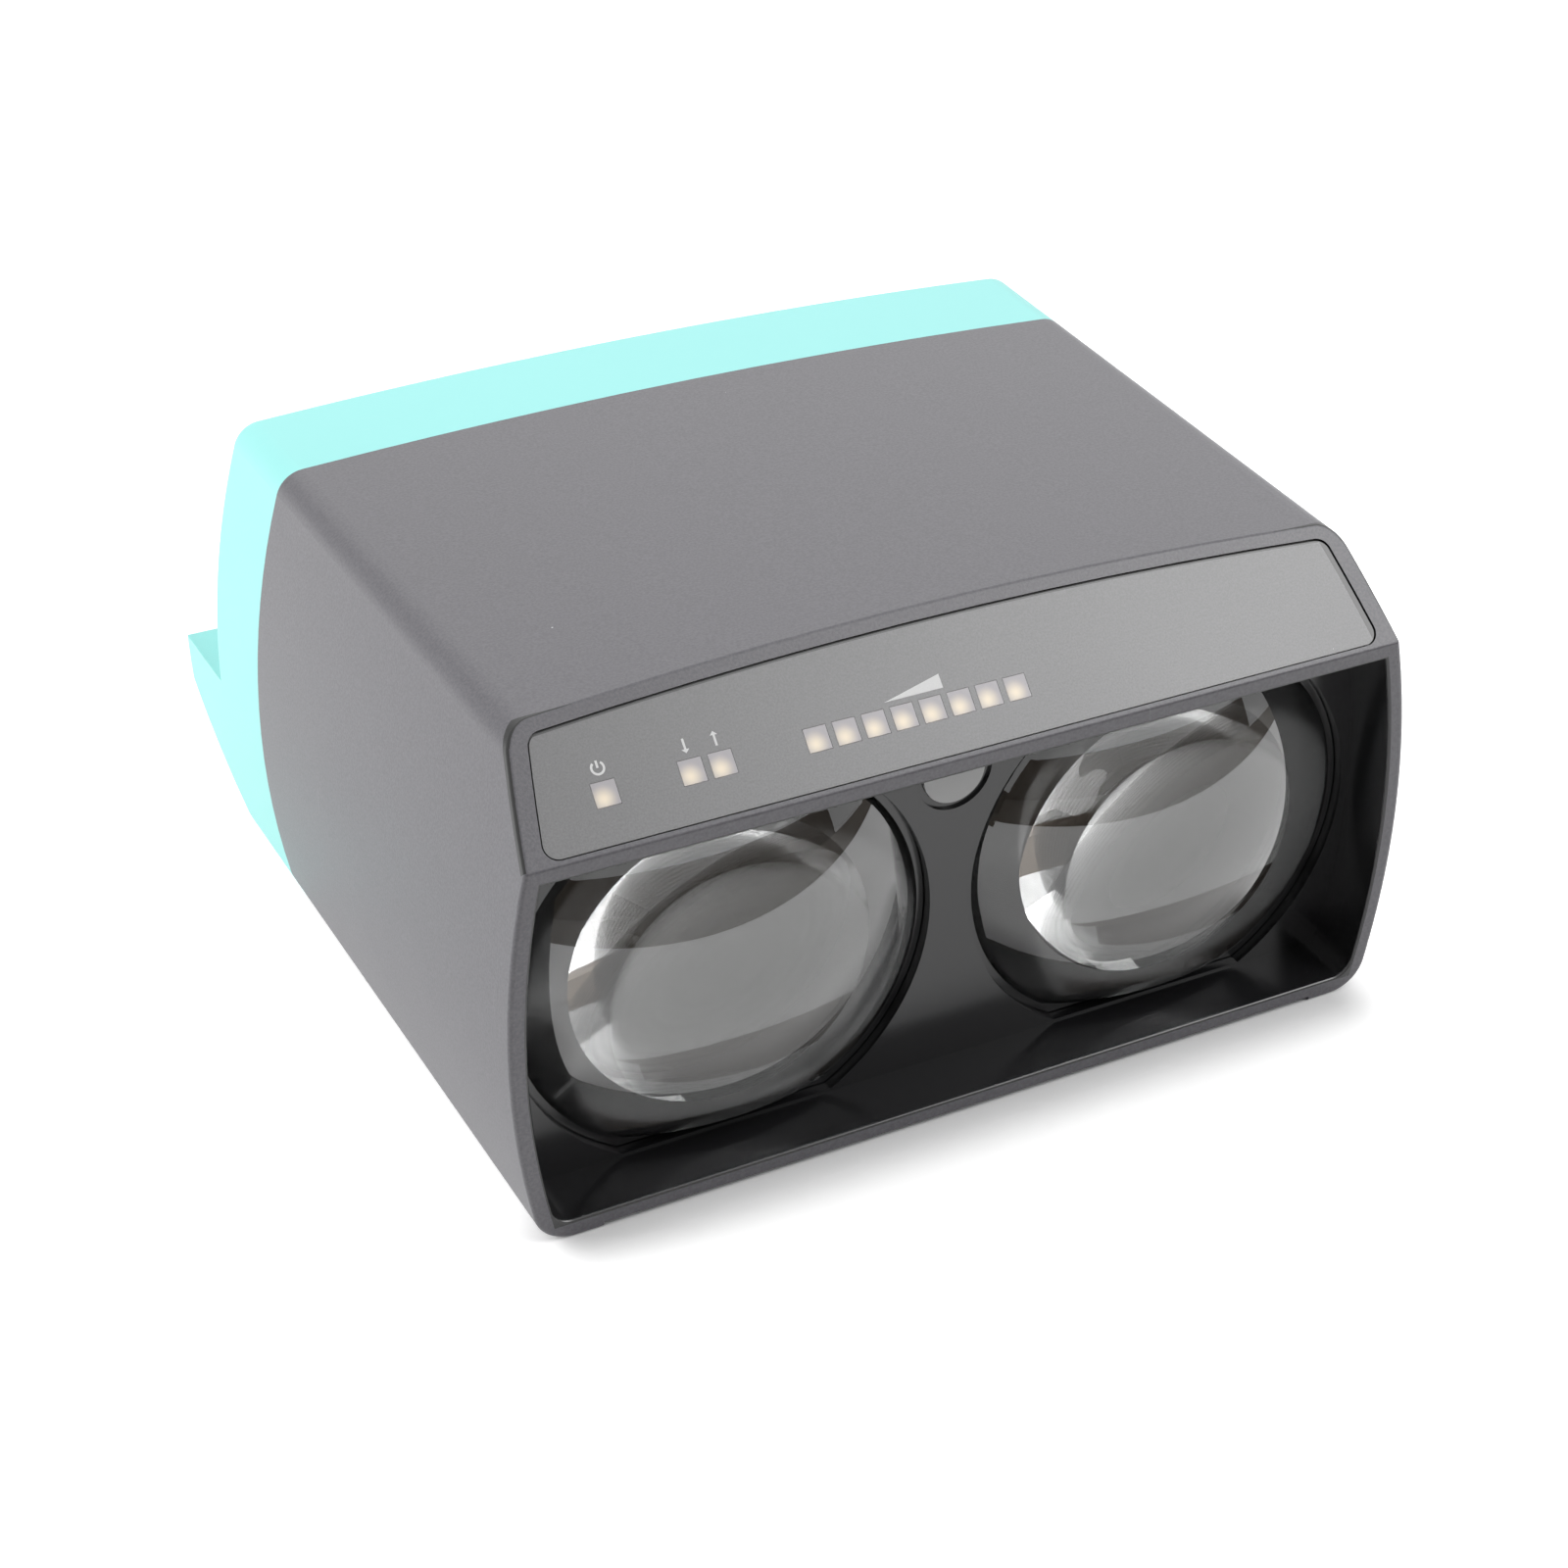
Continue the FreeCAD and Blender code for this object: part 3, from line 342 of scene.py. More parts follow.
def makeHoodPlastic():
    made, tree, shader = newMaterial("hoodPlastic", IOR=hood["index"])
    place = objectPlace(tree)
    texture = useGroup(tree, mouldTexture, Vector=place, Fineness=hood["grain"])
    recess = recessMask(tree, place)
    outside = maths(tree, "SUBTRACT", 1.0, recess)
    specks = useGroup(tree, dustSpecks, Vector=place, Cells=85.0, Size=0.02, Share=0.5)["Mask"]
    specks = maths(tree, "MULTIPLY", maths(tree, "MULTIPLY", specks, facingUp(tree)), outside)
    scuffs = useGroup(tree, hairScuffs, Vector=place, Turn=0.8)["Mask"]
    grain = spread(tree, texture["Height"], 0.4, 1.0, 0.0, 0.7)
    speckle = maths(tree, "MULTIPLY_ADD", texture["Tone"], 0.3, grain)
    color = mixColor(tree, speckle, hood["outer"], hood["outerLight"])
    color = mixColor(tree, maths(tree, "MULTIPLY", scuffs, 0.10), color, grey(0.4))
    # painted shade: the recess takes a darker copy of the plastic's colour
    color = mixColor(tree, recess, color, hood["recess"])
    # painted shade: the pocket walls round the film are darkened
    color = mixColor(tree, gapShadeMask(tree, place, panel["pocketDrop"]), color, hood["pocket"])
    color = mixColor(tree, maths(tree, "MULTIPLY", specks, 0.6), color, grey(0.75))
    tree.links.new(color, shader["Base Color"])
    rough = maths(tree, "MULTIPLY_ADD", texture["Tone"], 0.06, hood["roughOuter"] - 0.03)
    tree.links.new(mixValue(tree, recess, rough, hood["roughRecess"]), shader["Roughness"])
    height = maths(tree, "MULTIPLY", texture["Height"], outside)
    tree.links.new(bump(tree, height, hood["grainDepth"]), shader["Normal"])
    return made


paint(makeHoodPlastic(), "front_hood")
print("hood finished")


# Turquoise rear housing

rearShell = {
    "color": (0.31, 0.74, 0.715, 1.0),
    "deep": (0.28, 0.705, 0.68, 1.0),
    "rough": 0.42,
    "grain": 2300.0,
    "grainDepth": 0.00002,
}


def makeTurquoisePlastic():
    made, tree, shader = newMaterial("turquoisePlastic", IOR=1.5)
    place = objectPlace(tree)
    texture = useGroup(tree, mouldTexture, Vector=place, Fineness=rearShell["grain"])
    scuffs = useGroup(tree, hairScuffs, Vector=place, Turn=0.3)["Mask"]
    color = mixColor(tree, texture["Tone"], rearShell["deep"], rearShell["color"])
    color = mixColor(tree, maths(tree, "MULTIPLY", scuffs, 0.08), color, grey(0.8))
    tree.links.new(color, shader["Base Color"])
    rough = maths(tree, "MULTIPLY_ADD", texture["Tone"], 0.06, rearShell["rough"] - 0.03)
    tree.links.new(rough, shader["Roughness"])
    tree.links.new(bump(tree, texture["Height"], rearShell["grainDepth"]), shader["Normal"])
    return made


paint(makeTurquoisePlastic(), "rear_housing")
print("rear housing finished")


# Indicator panel: film, symbols and lamp windows

def makeOverlayFilm():
    made, tree, shader = newMaterial("overlayFilm", IOR=panel["filmIndex"])
    place = objectPlace(tree)
    texture = useGroup(tree, mouldTexture, Vector=place, Fineness=3200.0)
    specks = useGroup(tree, dustSpecks, Vector=place, Cells=140.0, Size=0.02, Share=0.25)["Mask"]
    speckle = spread(tree, texture["Height"], 0.4, 1.0)
    color = mixColor(tree, speckle, panel["film"], panel["filmLight"])
    color = mixColor(tree, maths(tree, "MULTIPLY", specks, 0.5), color, grey(0.7))
    # painted shadow: the film's cut edges, its right end and its top edge are darkened as shade in the gap
    cut = gapShadeMask(tree, place, panel["filmDrop"] + panel["cutDrop"])
    x, up = axes(tree, place)["X"], onSlope(tree, place)[0]
    end = maths(tree, "SUBTRACT", sideReach(tree, place, hood["skinArc"]), panel["endShadowInset"])
    cut = maths(tree, "MAXIMUM", cut, maths(tree, "GREATER_THAN", x, end))
    crest = maths(tree, "MULTIPLY_ADD", maths(tree, "MULTIPLY", x, x), panel["crownFall"], up)
    cut = maths(tree, "MAXIMUM", cut, maths(tree, "GREATER_THAN", crest, panel["topShadowFrom"]))
    tree.links.new(mixColor(tree, cut, color, hood["pocket"]), shader["Base Color"])
    rough = maths(tree, "MULTIPLY_ADD", texture["Tone"], 0.05, panel["filmRough"] - 0.025)
    tree.links.new(rough, shader["Roughness"])
    tree.links.new(bump(tree, texture["Height"], 0.000008), shader["Normal"])
    return made


def makeInk():
    made, tree, shader = newMaterial("symbolInk", Roughness=0.5)
    tone = noise(tree, objectPlace(tree), 5000.0, 2.0)
    tree.links.new(mixColor(tree, tone, panel["inkThin"], panel["ink"]), shader["Base Color"])
    return made


def flatShape(shell, corners):
    return shell.faces.new([shell.verts.new((u, v, 0.0)) for u, v in corners])


def addArrow(shell, u, v, way):
    tall, line = panel["symbolTall"] / 2, panel["line"] / 2
    head = panel["arrowHead"]
    half = [(line, -tall), (line, tall - head), (head, tall - head), (0.0, tall)]
    corners = half + [(-across, along) for across, along in reversed(half[:-1])]
    flatShape(shell, [(u + across, v + way * along) for across, along in corners])


def addPowerSign(shell, u, v):
    outer = panel["symbolTall"] / 2
    inner = outer - panel["line"]
    gap = panel["powerGap"]
    start = [shell.verts.new((u + r * math.sin(gap), v + r * math.cos(gap), 0.0)) for r in (inner, outer)]
    edge = shell.edges.new(start)
    turn = 2 * math.pi - 2 * gap
    bmesh.ops.spin(shell, geom=[edge, *start], cent=(u, v, 0.0), axis=(0, 0, -1), angle=turn, steps=40)
    half = panel["line"] / 2
    flatShape(shell, [(u - half, v), (u + half, v), (u + half, v + outer), (u - half, v + outer)])


def addWedge(shell, start, end, v):
    low, high = v - panel["symbolTall"] / 2, v + panel["symbolTall"] / 2
    flatShape(shell, [(start, low), (end, low), (end, high)])


def printSymbols(name, draw):
    shell = bmesh.new()
    draw(shell)
    bmesh.ops.recalc_face_normals(shell, faces=shell.faces)
    raised = bmesh.ops.extrude_face_region(shell, geom=shell.faces[:])["geom"]
    lift = (0.0, 0.0, panel["inkThickness"])
    bmesh.ops.translate(shell, vec=lift, verts=[v for v in raised if isinstance(v, bmesh.types.BMVert)])
    bmesh.ops.translate(shell, vec=(0.0, 0.0, -panel["filmDrop"]), verts=shell.verts)
    bmesh.ops.transform(shell, matrix=panelMatrix, verts=shell.verts)
    bmesh.ops.recalc_face_normals(shell, faces=shell.faces)
    return addPiece(name, shell, ink, 20.0)


def drawPowerSign(shell):
    addPowerSign(shell, panel["powerAt"], panel["rowHeight"])


def drawSignalWedge(shell):
    addWedge(shell, panel["signalFrom"], panel["signalTo"], panel["rowHeight"])


def drawLinkArrows(shell):
    addArrow(shell, panel["receiveAt"], panel["rowHeight"], -1)
    addArrow(shell, panel["sendAt"], panel["rowHeight"], 1)


ink = makeInk()
paint(makeOverlayFilm(), "indicator_overlay")
printSymbols("power_symbol", drawPowerSign)
printSymbols("link_symbols", drawLinkArrows)
printSymbols("signal_symbol", drawSignalWedge)


def makeMilkyGuide(name, firstLamp):
    made, tree, shader = newMaterial(name, IOR=1.49)
    place = objectPlace(tree)
    up = onSlope(tree, place)[0]
    across = maths(tree, "SUBTRACT", axes(tree, place)["X"], firstLamp)
    along = maths(tree, "DIVIDE", across, panel["lampPitch"])
    aside = maths(tree, "SUBTRACT", along, maths(tree, "ROUND", along))
    aside = maths(tree, "MULTIPLY_ADD", aside, panel["lampPitch"], -panel["glowShift"][0])
    above = maths(tree, "SUBTRACT", up, panel["lampRow"] + panel["glowShift"][1])
    off = addNode(tree, "ShaderNodeCombineXYZ", {0: aside, 1: above})
    far = addNode(tree, "ShaderNodeVectorMath", {0: off.outputs[0]}, operation="LENGTH").outputs["Value"]
    glow = spread(tree, far, panel["glowRadius"], 0.0)
    haze = noise(tree, place, 700.0, 2.0)
    body = mixColor(tree, haze, panel["guide"], panel["guideLight"])
    tree.links.new(mixColor(tree, glow, body, panel["glow"]), shader["Base Color"])
    tree.links.new(maths(tree, "MULTIPLY_ADD", haze, 0.1, 0.25), shader["Roughness"])
    return made


def makeLampPackage():
    made, tree, shader = newMaterial("lampPackage", Roughness=0.4)
    tone = noise(tree, objectPlace(tree), 1500.0, 2.0)
    tree.links.new(mixColor(tree, tone, panel["package"], panel["packageLight"]), shader["Base Color"])
    return made


paint(makeMilkyGuide("powerGuide", panel["powerAt"]), "power_light_guide")
paint(makeMilkyGuide("linkGuide", panel["receiveAt"]), "link_light_guide")
paint(makeMilkyGuide("signalGuide", panel["signalLamp"]), "signal_light_guide")
paint(makeLampPackage(), "indicator_leds", "aiming_lamp_led")
print("indicator panel finished")


# Lenses, their carrier and the lamp window between them

optics = {
    "glassColor": (0.93, 0.94, 0.935, 1.0),
    "glassIndex": 1.5,
    "coatIndex": 1.6,            # second sheen, of the coated faces
    "edgeBlack": (0.012, 0.012, 0.012, 1.0),
    "edgeLight": (0.018, 0.018, 0.018, 1.0),
    "frontCurve": 60.0 * mm,
    "rearCurve": 120.0 * mm,
    "bevel": 1.0 * mm,
    "edge": 4.0 * mm,            # bevel to the flat land at the back
    "land": 5.2 * mm,            # flats to the rear curve
    "arcSteps": 40,
    "turnSteps": 192,
    # painted shade: the carrier's own black, darkened further so the tubes behind the lenses read as shade
    "carrier": (0.0012, 0.0012, 0.0013, 1.0),
    "carrierLight": (0.002, 0.002, 0.002, 1.0),
    "carrierRough": 0.5,
    "collarBack": -61.5 * mm,    # the sheen of the collars ends here
    "ridgePitch": 0.9 * mm,
    "ridgeDepth": 0.03 * mm,
    "window": (0.38, 0.38, 0.38, 1.0),
    "windowLight": (0.42, 0.42, 0.42, 1.0),
}


def makeLensGlass():
    made, tree, shader = newMaterial("lensGlass", IOR=optics["glassIndex"])
    shader["Transmission Weight"].default_value = 1.0
    shader["Base Color"].default_value = optics["glassColor"]
    shader["Coat Weight"].default_value = 1.0
    shader["Coat Roughness"].default_value = 0.0
    shader["Coat IOR"].default_value = optics["coatIndex"]
    film = noise(tree, objectPlace(tree), 40.0, 2.0)
    tree.links.new(spread(tree, film, 0.55, 0.9, 0.0, 0.03), shader["Roughness"])
    return made


def makeEdgeBlack():
    made, tree, shader = newMaterial("lensEdgeBlack", IOR=1.7)
    texture = useGroup(tree, mouldTexture, Vector=objectPlace(tree), Fineness=3000.0)
    color = mixColor(tree, texture["Tone"], optics["edgeBlack"], optics["edgeLight"])
    tree.links.new(color, shader["Base Color"])
    tree.links.new(maths(tree, "MULTIPLY_ADD", texture["Tone"], 0.06, 0.08), shader["Roughness"])
    return made


def growPoint(shell, point, step):
    grown = bmesh.ops.extrude_vert_indiv(shell, verts=[point])["verts"]
    bmesh.ops.translate(shell, vec=step, verts=grown)
    return grown[0]


def growArc(shell, point, hub, angle):
    bmesh.ops.spin(shell, geom=[point], cent=hub, axis=(0, 0, 1), angle=angle, steps=optics["arcSteps"])
    shell.verts.ensure_lookup_table()
    return shell.verts[-1]


def turnLens(name, node):
    low, high = (Vector(corner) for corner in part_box(node))
    middle = (low + high) / 2
    radius, flat = (high.x - low.x) / 2, (high.z - low.z) / 2
    frontRadius, rearRadius = radius - optics["bevel"], flat - optics["land"]
    shell = bmesh.new()
    apex = shell.verts.new((middle.x, low.y, middle.z))
    frontHub = (middle.x, low.y + optics["frontCurve"], middle.z)
    point = growArc(shell, apex, frontHub, math.asin(frontRadius / optics["frontCurve"]))
    point = growPoint(shell, point, (optics["bevel"], optics["bevel"], 0.0))
    point = growPoint(shell, point, (0.0, optics["edge"], 0.0))
    point = growPoint(shell, point, (rearRadius - radius, 0.0, 0.0))
    rearHub = (middle.x, high.y - optics["rearCurve"], middle.z)
    growArc(shell, point, rearHub, math.asin(rearRadius / optics["rearCurve"]))
    profile = shell.verts[:] + shell.edges[:]
    turn = {"cent": middle, "axis": (0, 1, 0), "angle": 2 * math.pi, "steps": optics["turnSteps"]}
    bmesh.ops.spin(shell, geom=profile, use_merge=True, **turn)
    bmesh.ops.remove_doubles(shell, verts=shell.verts, dist=0.001 * mm)
    for way in (-1, 1):
        everything = shell.verts[:] + shell.edges[:] + shell.faces[:]
        place = middle + Vector((0.0, 0.0, way * flat))
        cut = bmesh.ops.bisect_plane(
            shell, geom=everything, plane_co=place, plane_no=(0, 0, way), dist=0.0001 * mm, clear_outer=True
        )
        bmesh.ops.edgeloop_fill(shell, edges=[e for e in cut["geom_cut"] if isinstance(e, bmesh.types.BMEdge)])
    bmesh.ops.recalc_face_normals(shell, faces=shell.faces)
    for face in shell.faces:
        place = face.calc_center_median() - middle
        across = math.hypot(place.x, place.z)
        front = face.normal.y < -0.5
        rear = face.normal.y > 0.5 and across < rearRadius
        face.material_index = 0 if front or rear else 1
    piece = addPiece(name, shell, lensGlass, 4.0)
    piece.data.materials.append(lensEdge)
    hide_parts(node)
    print(name, "turned")


def makeCarrierPlastic():
    made, tree, shader = newMaterial("carrierPlastic", IOR=1.1)
    shader["Coat Roughness"].default_value = hood["roughRecess"]
    shader["Coat IOR"].default_value = hood["index"]
    place = objectPlace(tree)
    collar = maths(tree, "LESS_THAN", axes(tree, place)["Y"], optics["collarBack"])
    tree.links.new(collar, shader["Coat Weight"])
    texture = useGroup(tree, mouldTexture, Vector=place, Fineness=3000.0)
    depth = maths(tree, "MULTIPLY", axes(tree, place)["Y"], 2 * math.pi / optics["ridgePitch"])
    ridges = maths(tree, "SINE", depth)
    # painted shade: the carrier is darkened past its black plastic inside the lens tubes, and the collar fronts
    # take the recess's painted shade colour
    color = mixColor(tree, texture["Tone"], optics["carrier"], optics["carrierLight"])
    tree.links.new(mixColor(tree, collar, color, hood["recess"]), shader["Base Color"])
    rough = maths(tree, "MULTIPLY_ADD", texture["Tone"], 0.08, optics["carrierRough"] - 0.04)
    tree.links.new(rough, shader["Roughness"])
    tree.links.new(bump(tree, ridges, optics["ridgeDepth"]), shader["Normal"])
    return made


def makeLampWindow():
    made, tree, shader = newMaterial("lampWindow", IOR=1.5)
    place = objectPlace(tree)
    texture = useGroup(tree, mouldTexture, Vector=place, Fineness=2000.0)
    color = mixColor(tree, texture["Tone"], optics["window"], optics["windowLight"])
    tree.links.new(color, shader["Base Color"])
    tree.links.new(maths(tree, "MULTIPLY_ADD", texture["Tone"], 0.1, 0.25), shader["Roughness"])
    return made


lensGlass, lensEdge = makeLensGlass(), makeEdgeBlack()
turnLens("transmitter_lens_clear", "transmitter_lens")
turnLens("receiver_lens_clear", "receiver_lens")
paint(makeCarrierPlastic(), "optics_chassis")
paint(makeLampWindow(), "aiming_lamp_window")
print("optics finished")


# Finishes of the small and inner pieces

def makeRubber():
    made, tree, shader = newMaterial("sealRubber", IOR=1.5)
    texture = useGroup(tree, mouldTexture, Vector=objectPlace(tree), Fineness=1500.0)
    tree.links.new(mixColor(tree, texture["Tone"], grey(0.018), grey(0.032)), shader["Base Color"])
    tree.links.new(maths(tree, "MULTIPLY_ADD", texture["Tone"], 0.15, 0.6), shader["Roughness"])
    tree.links.new(bump(tree, texture["Height"], 0.00002), shader["Normal"])
    return made


def makeMetal(name, color, tarnish, rough):
    made, tree, shader = newMaterial(name, Metallic=1.0)
    place = objectPlace(tree)
    texture = useGroup(tree, mouldTexture, Vector=place, Fineness=1800.0)
    scuffs = useGroup(tree, hairScuffs, Vector=place, Length=300.0, Width=6000.0)["Mask"]
    tree.links.new(mixColor(tree, texture["Tone"], color, tarnish), shader["Base Color"])
    shine = maths(tree, "MULTIPLY_ADD", texture["Tone"], 0.12, rough)
    tree.links.new(maths(tree, "MULTIPLY_ADD", scuffs, 0.2, shine), shader["Roughness"])
    tree.links.new(bump(tree, texture["Height"], 0.000004), shader["Normal"])
    return made


def makeHardPlastic(name, low, high, rough):
    made, tree, shader = newMaterial(name, IOR=1.5)
    texture = useGroup(tree, mouldTexture, Vector=objectPlace(tree), Fineness=2600.0)
    tree.links.new(mixColor(tree, texture["Tone"], low, high), shader["Base Color"])
    tree.links.new(maths(tree, "MULTIPLY_ADD", texture["Tone"], 0.1, rough), shader["Roughness"])
    tree.links.new(bump(tree, texture["Height"], 0.00001), shader["Normal"])
    return made


def makeCircuitBoard():
    made, tree, shader = newMaterial("circuitBoard", IOR=1.5)
    place = objectPlace(tree)
    inputs = {"Vector": place, "Scale": 420.0, "Randomness": 0.35}
    cells = addNode(tree, "ShaderNodeTexVoronoi", inputs, feature="F1", distance="MANHATTAN")
    rings = maths(tree, "FRACT", maths(tree, "MULTIPLY", cells.outputs["Distance"], 4.0))
    tracks = spread(tree, rings, 0.42, 0.5)
    color = mixColor(tree, tracks, (0.012, 0.10, 0.045, 1.0), (0.02, 0.17, 0.075, 1.0))
    tree.links.new(color, shader["Base Color"])
    tree.links.new(maths(tree, "MULTIPLY_ADD", tracks, -0.08, 0.38), shader["Roughness"])
    tree.links.new(bump(tree, tracks, 0.00003), shader["Normal"])
    return made


brass = makeMetal("insertBrass", (0.72, 0.50, 0.21, 1.0), (0.60, 0.40, 0.16, 1.0), 0.28)
steel = makeMetal("screwSteel", (0.62, 0.62, 0.63, 1.0), (0.52, 0.52, 0.53, 1.0), 0.3)
nickel = makeMetal("connectorMetal", (0.66, 0.64, 0.60, 1.0), (0.56, 0.54, 0.50, 1.0), 0.24)
gold = makeMetal("contactGold", (0.95, 0.72, 0.30, 1.0), (0.86, 0.62, 0.24, 1.0), 0.2)
can = makeMetal("diodeCan", (0.70, 0.68, 0.62, 1.0), (0.60, 0.58, 0.52, 1.0), 0.25)
rubber = makeRubber()
board = makeCircuitBoard()
paleBoard = makeHardPlastic("paleBoard", grey(0.62), grey(0.70), 0.4)
blackPlastic = makeHardPlastic("connectorPlastic", grey(0.02), grey(0.035), 0.4)
componentPlastic = makeHardPlastic("componentPlastic", grey(0.025), grey(0.045), 0.45)
ribbon = makeHardPlastic("ribbonCable", grey(0.42), grey(0.5), 0.5)

paint(rubber, "housing_gasket", "transmitter_lens_seal", "receiver_lens_seal")
paint(rubber, "supply_connector_seal", "data_connector_seal")
paint(brass, "hood_inserts", "mounting_inserts")
paint(steel, "housing_screws", "indicator_screws", "chassis_screws", "optics_board_screws", "main_board_screws")
paint(paleBoard, "indicator_board")
paint(board, "emitter_board", "receiver_board", "aiming_lamp_board", "main_board")
paint(can, "emitter_diode", "receiver_diode")
paint(componentPlastic, "main_board_components", "board_headers")
paint(ribbon, "indicator_ribbon")
for plug in ("supply", "data"):
    paint(nickel, plug + "_connector_shell", plug + "_connector_nut")
    paint(blackPlastic, plug + "_connector_insert")
    paint(gold, plug + "_connector_contacts")
print("small pieces finished")


# Threads of the two connectors

connector = {
    "apart": 28.0 * mm,          # either side of the middle
    "face": (62.88 * mm, 12.0 * mm),   # where the axes leave the slanted face
    "slant": math.radians(50.0),
    "radius": 6.0 * mm,
    "sunk": 0.05 * mm,
    "crest": 0.16 * mm,
    "from": 3.5 * mm,            # along the axis, past the hexagon
    "pitch": 1.0 * mm,
    "turns": 7,
    "turnSteps": 48,
}


def cutThread(name, x):
    shell = bmesh.new()
    low, high = connector["radius"] - connector["sunk"], connector["radius"] + connector["crest"]
    ridge = ((low, 0.0), (high, 0.35), (high, 0.42), (low, 0.77))
    corners = [shell.verts.new((r, 0.0, connector["from"] + part * connector["pitch"])) for r, part in ridge]
    loop = [shell.edges.new((corners[i - 1], corners[i])) for i in range(len(corners))]
    steps = connector["turns"] * connector["turnSteps"]
    climb = (0.0, 0.0, connector["pitch"] / connector["turnSteps"])
    turn = {"cent": (0, 0, 0), "axis": (0, 0, 1), "angle": 2 * math.pi * connector["turns"], "steps": steps}
    bmesh.ops.spin(shell, geom=corners + loop, dvec=climb, **turn)
    bmesh.ops.edgeloop_fill(shell, edges=[e for e in shell.edges if e.is_boundary])
    bmesh.ops.recalc_face_normals(shell, faces=shell.faces)
    place = Matrix.Translation((x, *connector["face"])) @ Matrix.Rotation(math.pi + connector["slant"], 4, "X")
    bmesh.ops.transform(shell, matrix=place, verts=shell.verts)
    addPiece(name, shell, nickel, 40.0)


cutThread("supply_connector_thread", -connector["apart"])
cutThread("data_connector_thread", connector["apart"])
print("threads finished")


# Floor, light and camera

studio = {
    "floorSize": 9.0,
    "floorColor": (0.86, 0.86, 0.86, 1.0),
    "floorTone": (0.85, 0.85, 0.85, 1.0),
    "floorGlow": 0.52,
    "frontShadowDepth": 0.014,          # the glow fades out this near to the front edge, painting a darker strip where the contact shadow falls
    "frontHalf": 0.07,
    "worldFill": 0.36,           # what the background gives as light, from behind and from the front
    "worldFront": 0.12,
    "card": (2.2, -0.29, -1.6, 0.4),   # half width, near and far edge and height
    "cardLift": 0.002,
    "cardColor": (0.14, 0.11, 0.085, 1.0),
    "cardDark": (0.12, 0.10, 0.08, 1.0),
    "aim": Vector((0.0, 0.0, 0.04)),
    "lampPower": 4.0,            # watts for each square metre at level 1
}
lamps = [                        # place, size, level, whether it shows in a sheen
    ((0.6, 1.5, 1.15), (2.6, 1.5), 0.5, True),
    ((-1.4, 1.1, 0.9), (1.9, 1.6), 3.7, False),
    ((0.4, 0.0, 2.2), (2.2, 2.0), 0.5, True),
    ((1.72, -1.07, 1.61), (1.7, 1.7), 3.5, True),
]
cameraSet = {
    "place": (-0.1895, -0.3892, 0.2959),
    "yaw": 26.195,
    "pitch": 32.465,
    "lens": 64.12,
}


def seenRay(tree):
    path = addNode(tree, "ShaderNodeLightPath").outputs
    seen = maths(tree, "MAXIMUM", path["Is Camera Ray"], path["Is Glossy Ray"])
    return maths(tree, "MAXIMUM", seen, path["Is Transmission Ray"])


# painted shadow: the floor's glow is taken out in a strip along the front edge; the lamps' real shadow also
# shows in it
def outsideFrontShadow(tree):
    x, y, z = axes(tree, objectPlace(tree))
    beside = maths(tree, "SUBTRACT", maths(tree, "ABSOLUTE", x), studio["frontHalf"])
    beside = maths(tree, "MAXIMUM", beside, 0.0)
    before = maths(tree, "ABSOLUTE", maths(tree, "SUBTRACT", y, cadBox[0][1]))
    off = addNode(tree, "ShaderNodeCombineXYZ", {0: beside, 1: before})
    far = addNode(tree, "ShaderNodeVectorMath", {0: off.outputs[0]}, operation="LENGTH").outputs["Value"]
    return spread(tree, far, 0.0, studio["frontShadowDepth"])


def makeFloor():
    made, tree, shader = newMaterial("paleFloor", Roughness=0.7)
    tone = noise(tree, objectPlace(tree), 3.0, 2.0)
    tree.links.new(mixColor(tree, tone, studio["floorTone"], studio["floorColor"]), shader["Base Color"])
    shader["Emission Color"].default_value = grey(1.0)
    # the glow is left out of the painted shadow strip at the front edge
    level = maths(tree, "MULTIPLY", outsideFrontShadow(tree), studio["floorGlow"])
    tree.links.new(maths(tree, "MULTIPLY", seenRay(tree), level), shader["Emission Strength"])
    shell = bmesh.new()
    bmesh.ops.create_grid(shell, x_segments=1, y_segments=1, size=studio["floorSize"] / 2)
    mesh = bpy.data.meshes.new("floor")
    shell.to_mesh(mesh)
    shell.free()
    mesh.materials.append(made)
    floor = bpy.data.objects.new("floor", mesh)
    scene.collection.objects.link(floor)


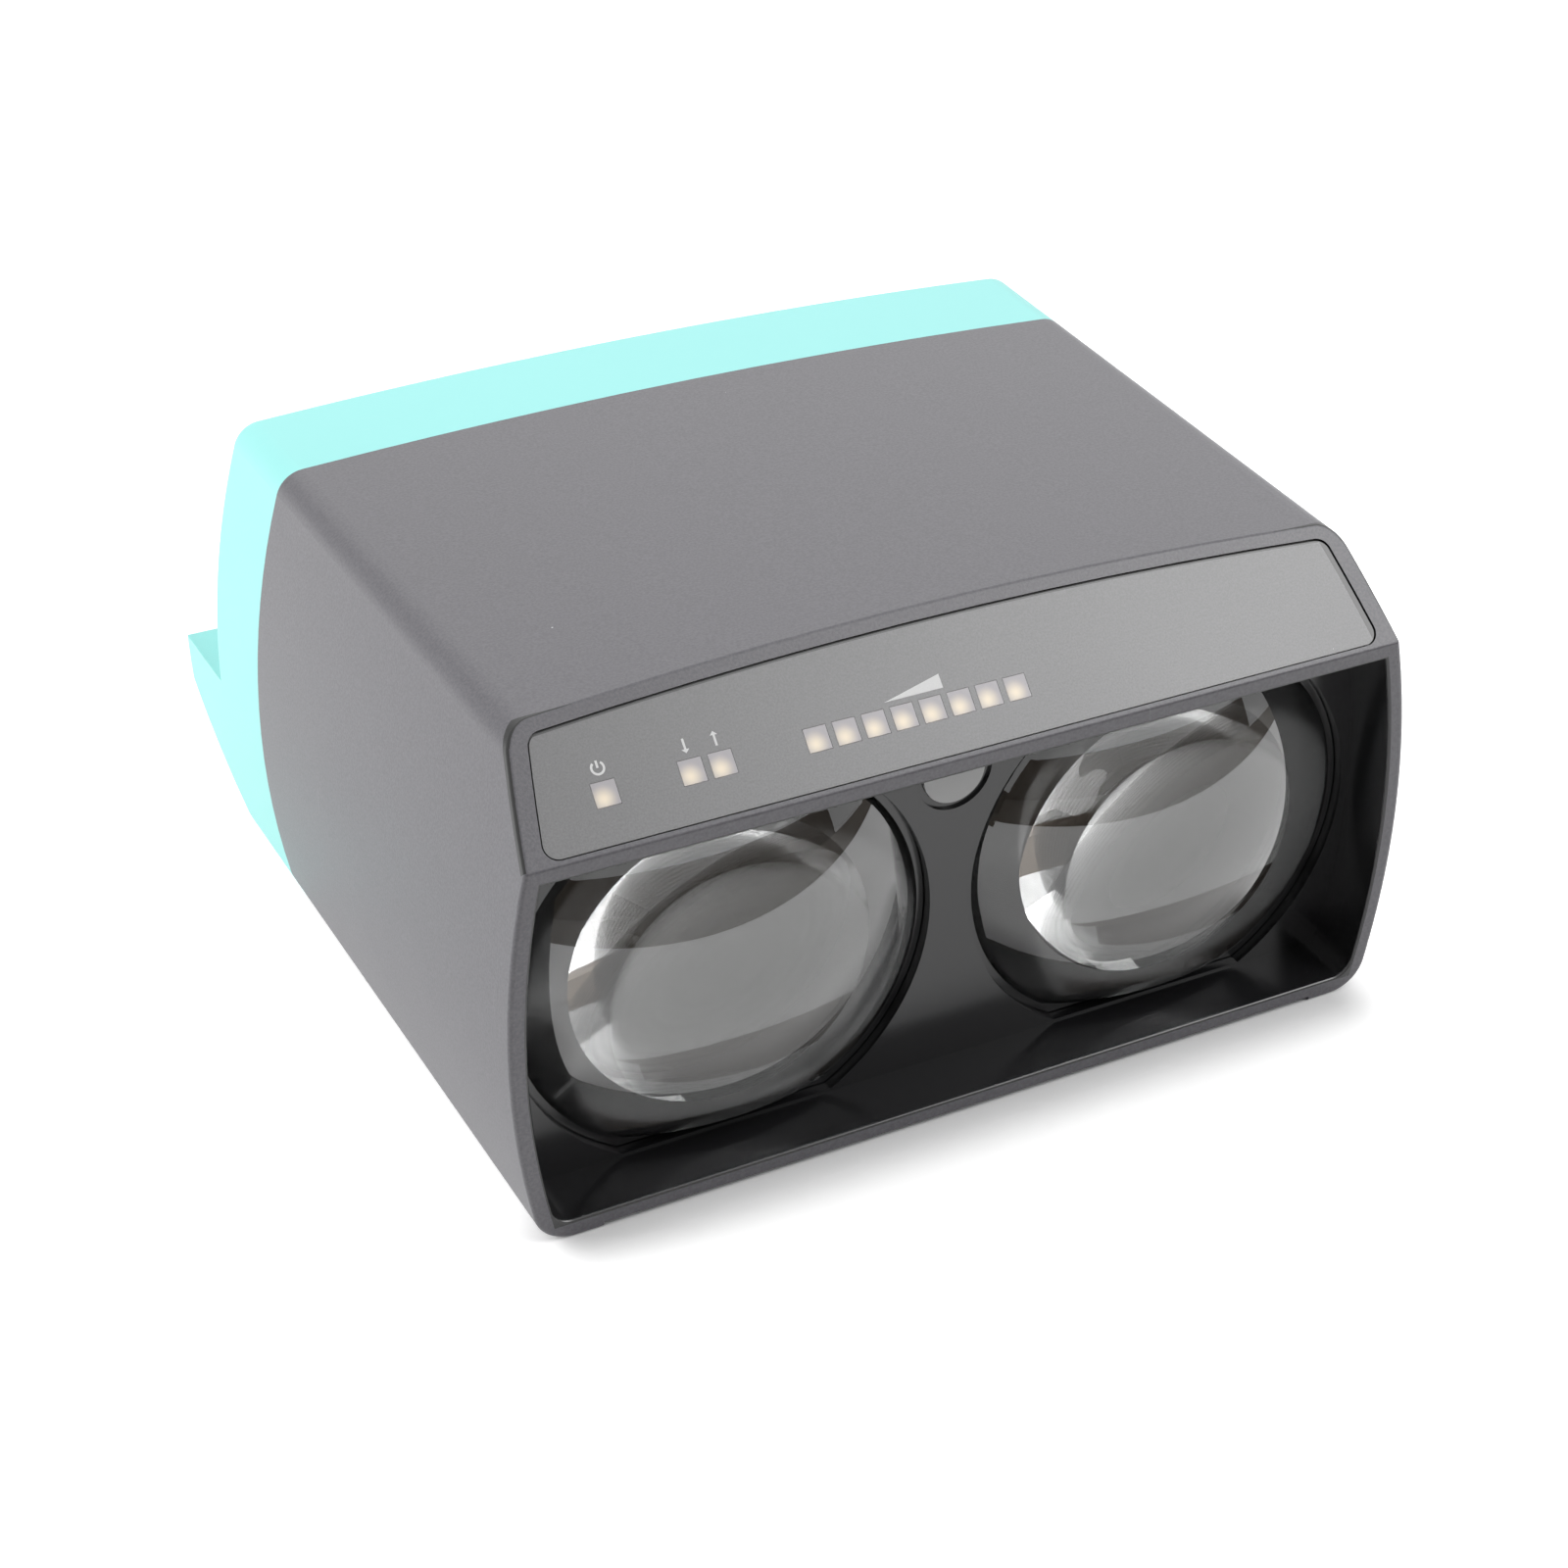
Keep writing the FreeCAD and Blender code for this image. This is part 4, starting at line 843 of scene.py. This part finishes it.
def makeCard():
    made, tree, shader = newMaterial("brownCard", Roughness=0.9)
    tone = noise(tree, objectPlace(tree), 6.0, 2.0)
    tree.links.new(mixColor(tree, tone, studio["cardDark"], studio["cardColor"]), shader["Base Color"])
    shell = bmesh.new()
    wide, near, far, tall = studio["card"]
    edge = [shell.verts.new((x, near, studio["cardLift"])) for x in (-wide, wide)]
    run = [shell.edges.new(edge)]
    for step in ((0.0, far - near, 0.0), (0.0, 0.0, tall)):
        grown = bmesh.ops.extrude_edge_only(shell, edges=run)["geom"]
        bmesh.ops.translate(shell, vec=step, verts=[v for v in grown if isinstance(v, bmesh.types.BMVert)])
        run = [e for e in grown if isinstance(e, bmesh.types.BMEdge)]
    mesh = bpy.data.meshes.new("brownCard")
    shell.to_mesh(mesh)
    shell.free()
    mesh.materials.append(made)
    card = bpy.data.objects.new("brownCard", mesh)
    scene.collection.objects.link(card)
    card.visible_camera = False
    card.visible_diffuse = False
    card.visible_shadow = False


def makeWorld():
    world = bpy.data.worlds.new("studio")
    scene.world = world
    world.use_nodes = True
    tree = world.node_tree
    background = tree.nodes["Background"].inputs
    background["Color"].default_value = grey(1.0)
    way = addNode(tree, "ShaderNodeTexCoord").outputs["Generated"]
    fill = spread(tree, axes(tree, way)["Y"], -0.6, 0.3, studio["worldFront"], studio["worldFill"])
    tree.links.new(mixValue(tree, seenRay(tree), fill, 1.0), background["Strength"])


def makeLamps():
    for number, (place, size, level, sheen) in enumerate(lamps):
        data = bpy.data.lights.new("softbox%d" % number, "AREA")
        data.shape = "RECTANGLE"
        data.size, data.size_y = size
        data.energy = level * studio["lampPower"] * size[0] * size[1]
        lamp = bpy.data.objects.new(data.name, data)
        lamp.location = place
        aim = studio["aim"] - Vector(place)
        lamp.rotation_euler = aim.to_track_quat("-Z", "Y").to_euler()
        lamp.visible_camera = False
        lamp.visible_glossy = sheen
        scene.collection.objects.link(lamp)


def makeCamera():
    data = bpy.data.cameras.new("camera")
    data.lens = cameraSet["lens"]
    data.sensor_width = 36.0
    data.clip_start = 0.01
    camera = bpy.data.objects.new("camera", data)
    camera.location = cameraSet["place"]
    tilt = math.radians(90.0 - cameraSet["pitch"])
    camera.rotation_euler = (tilt, 0.0, -math.radians(cameraSet["yaw"]))
    scene.collection.objects.link(camera)
    scene.camera = camera


makeFloor()
makeCard()
makeWorld()
makeLamps()
makeCamera()
scene.view_settings.view_transform = "Standard"
print("studio ready")
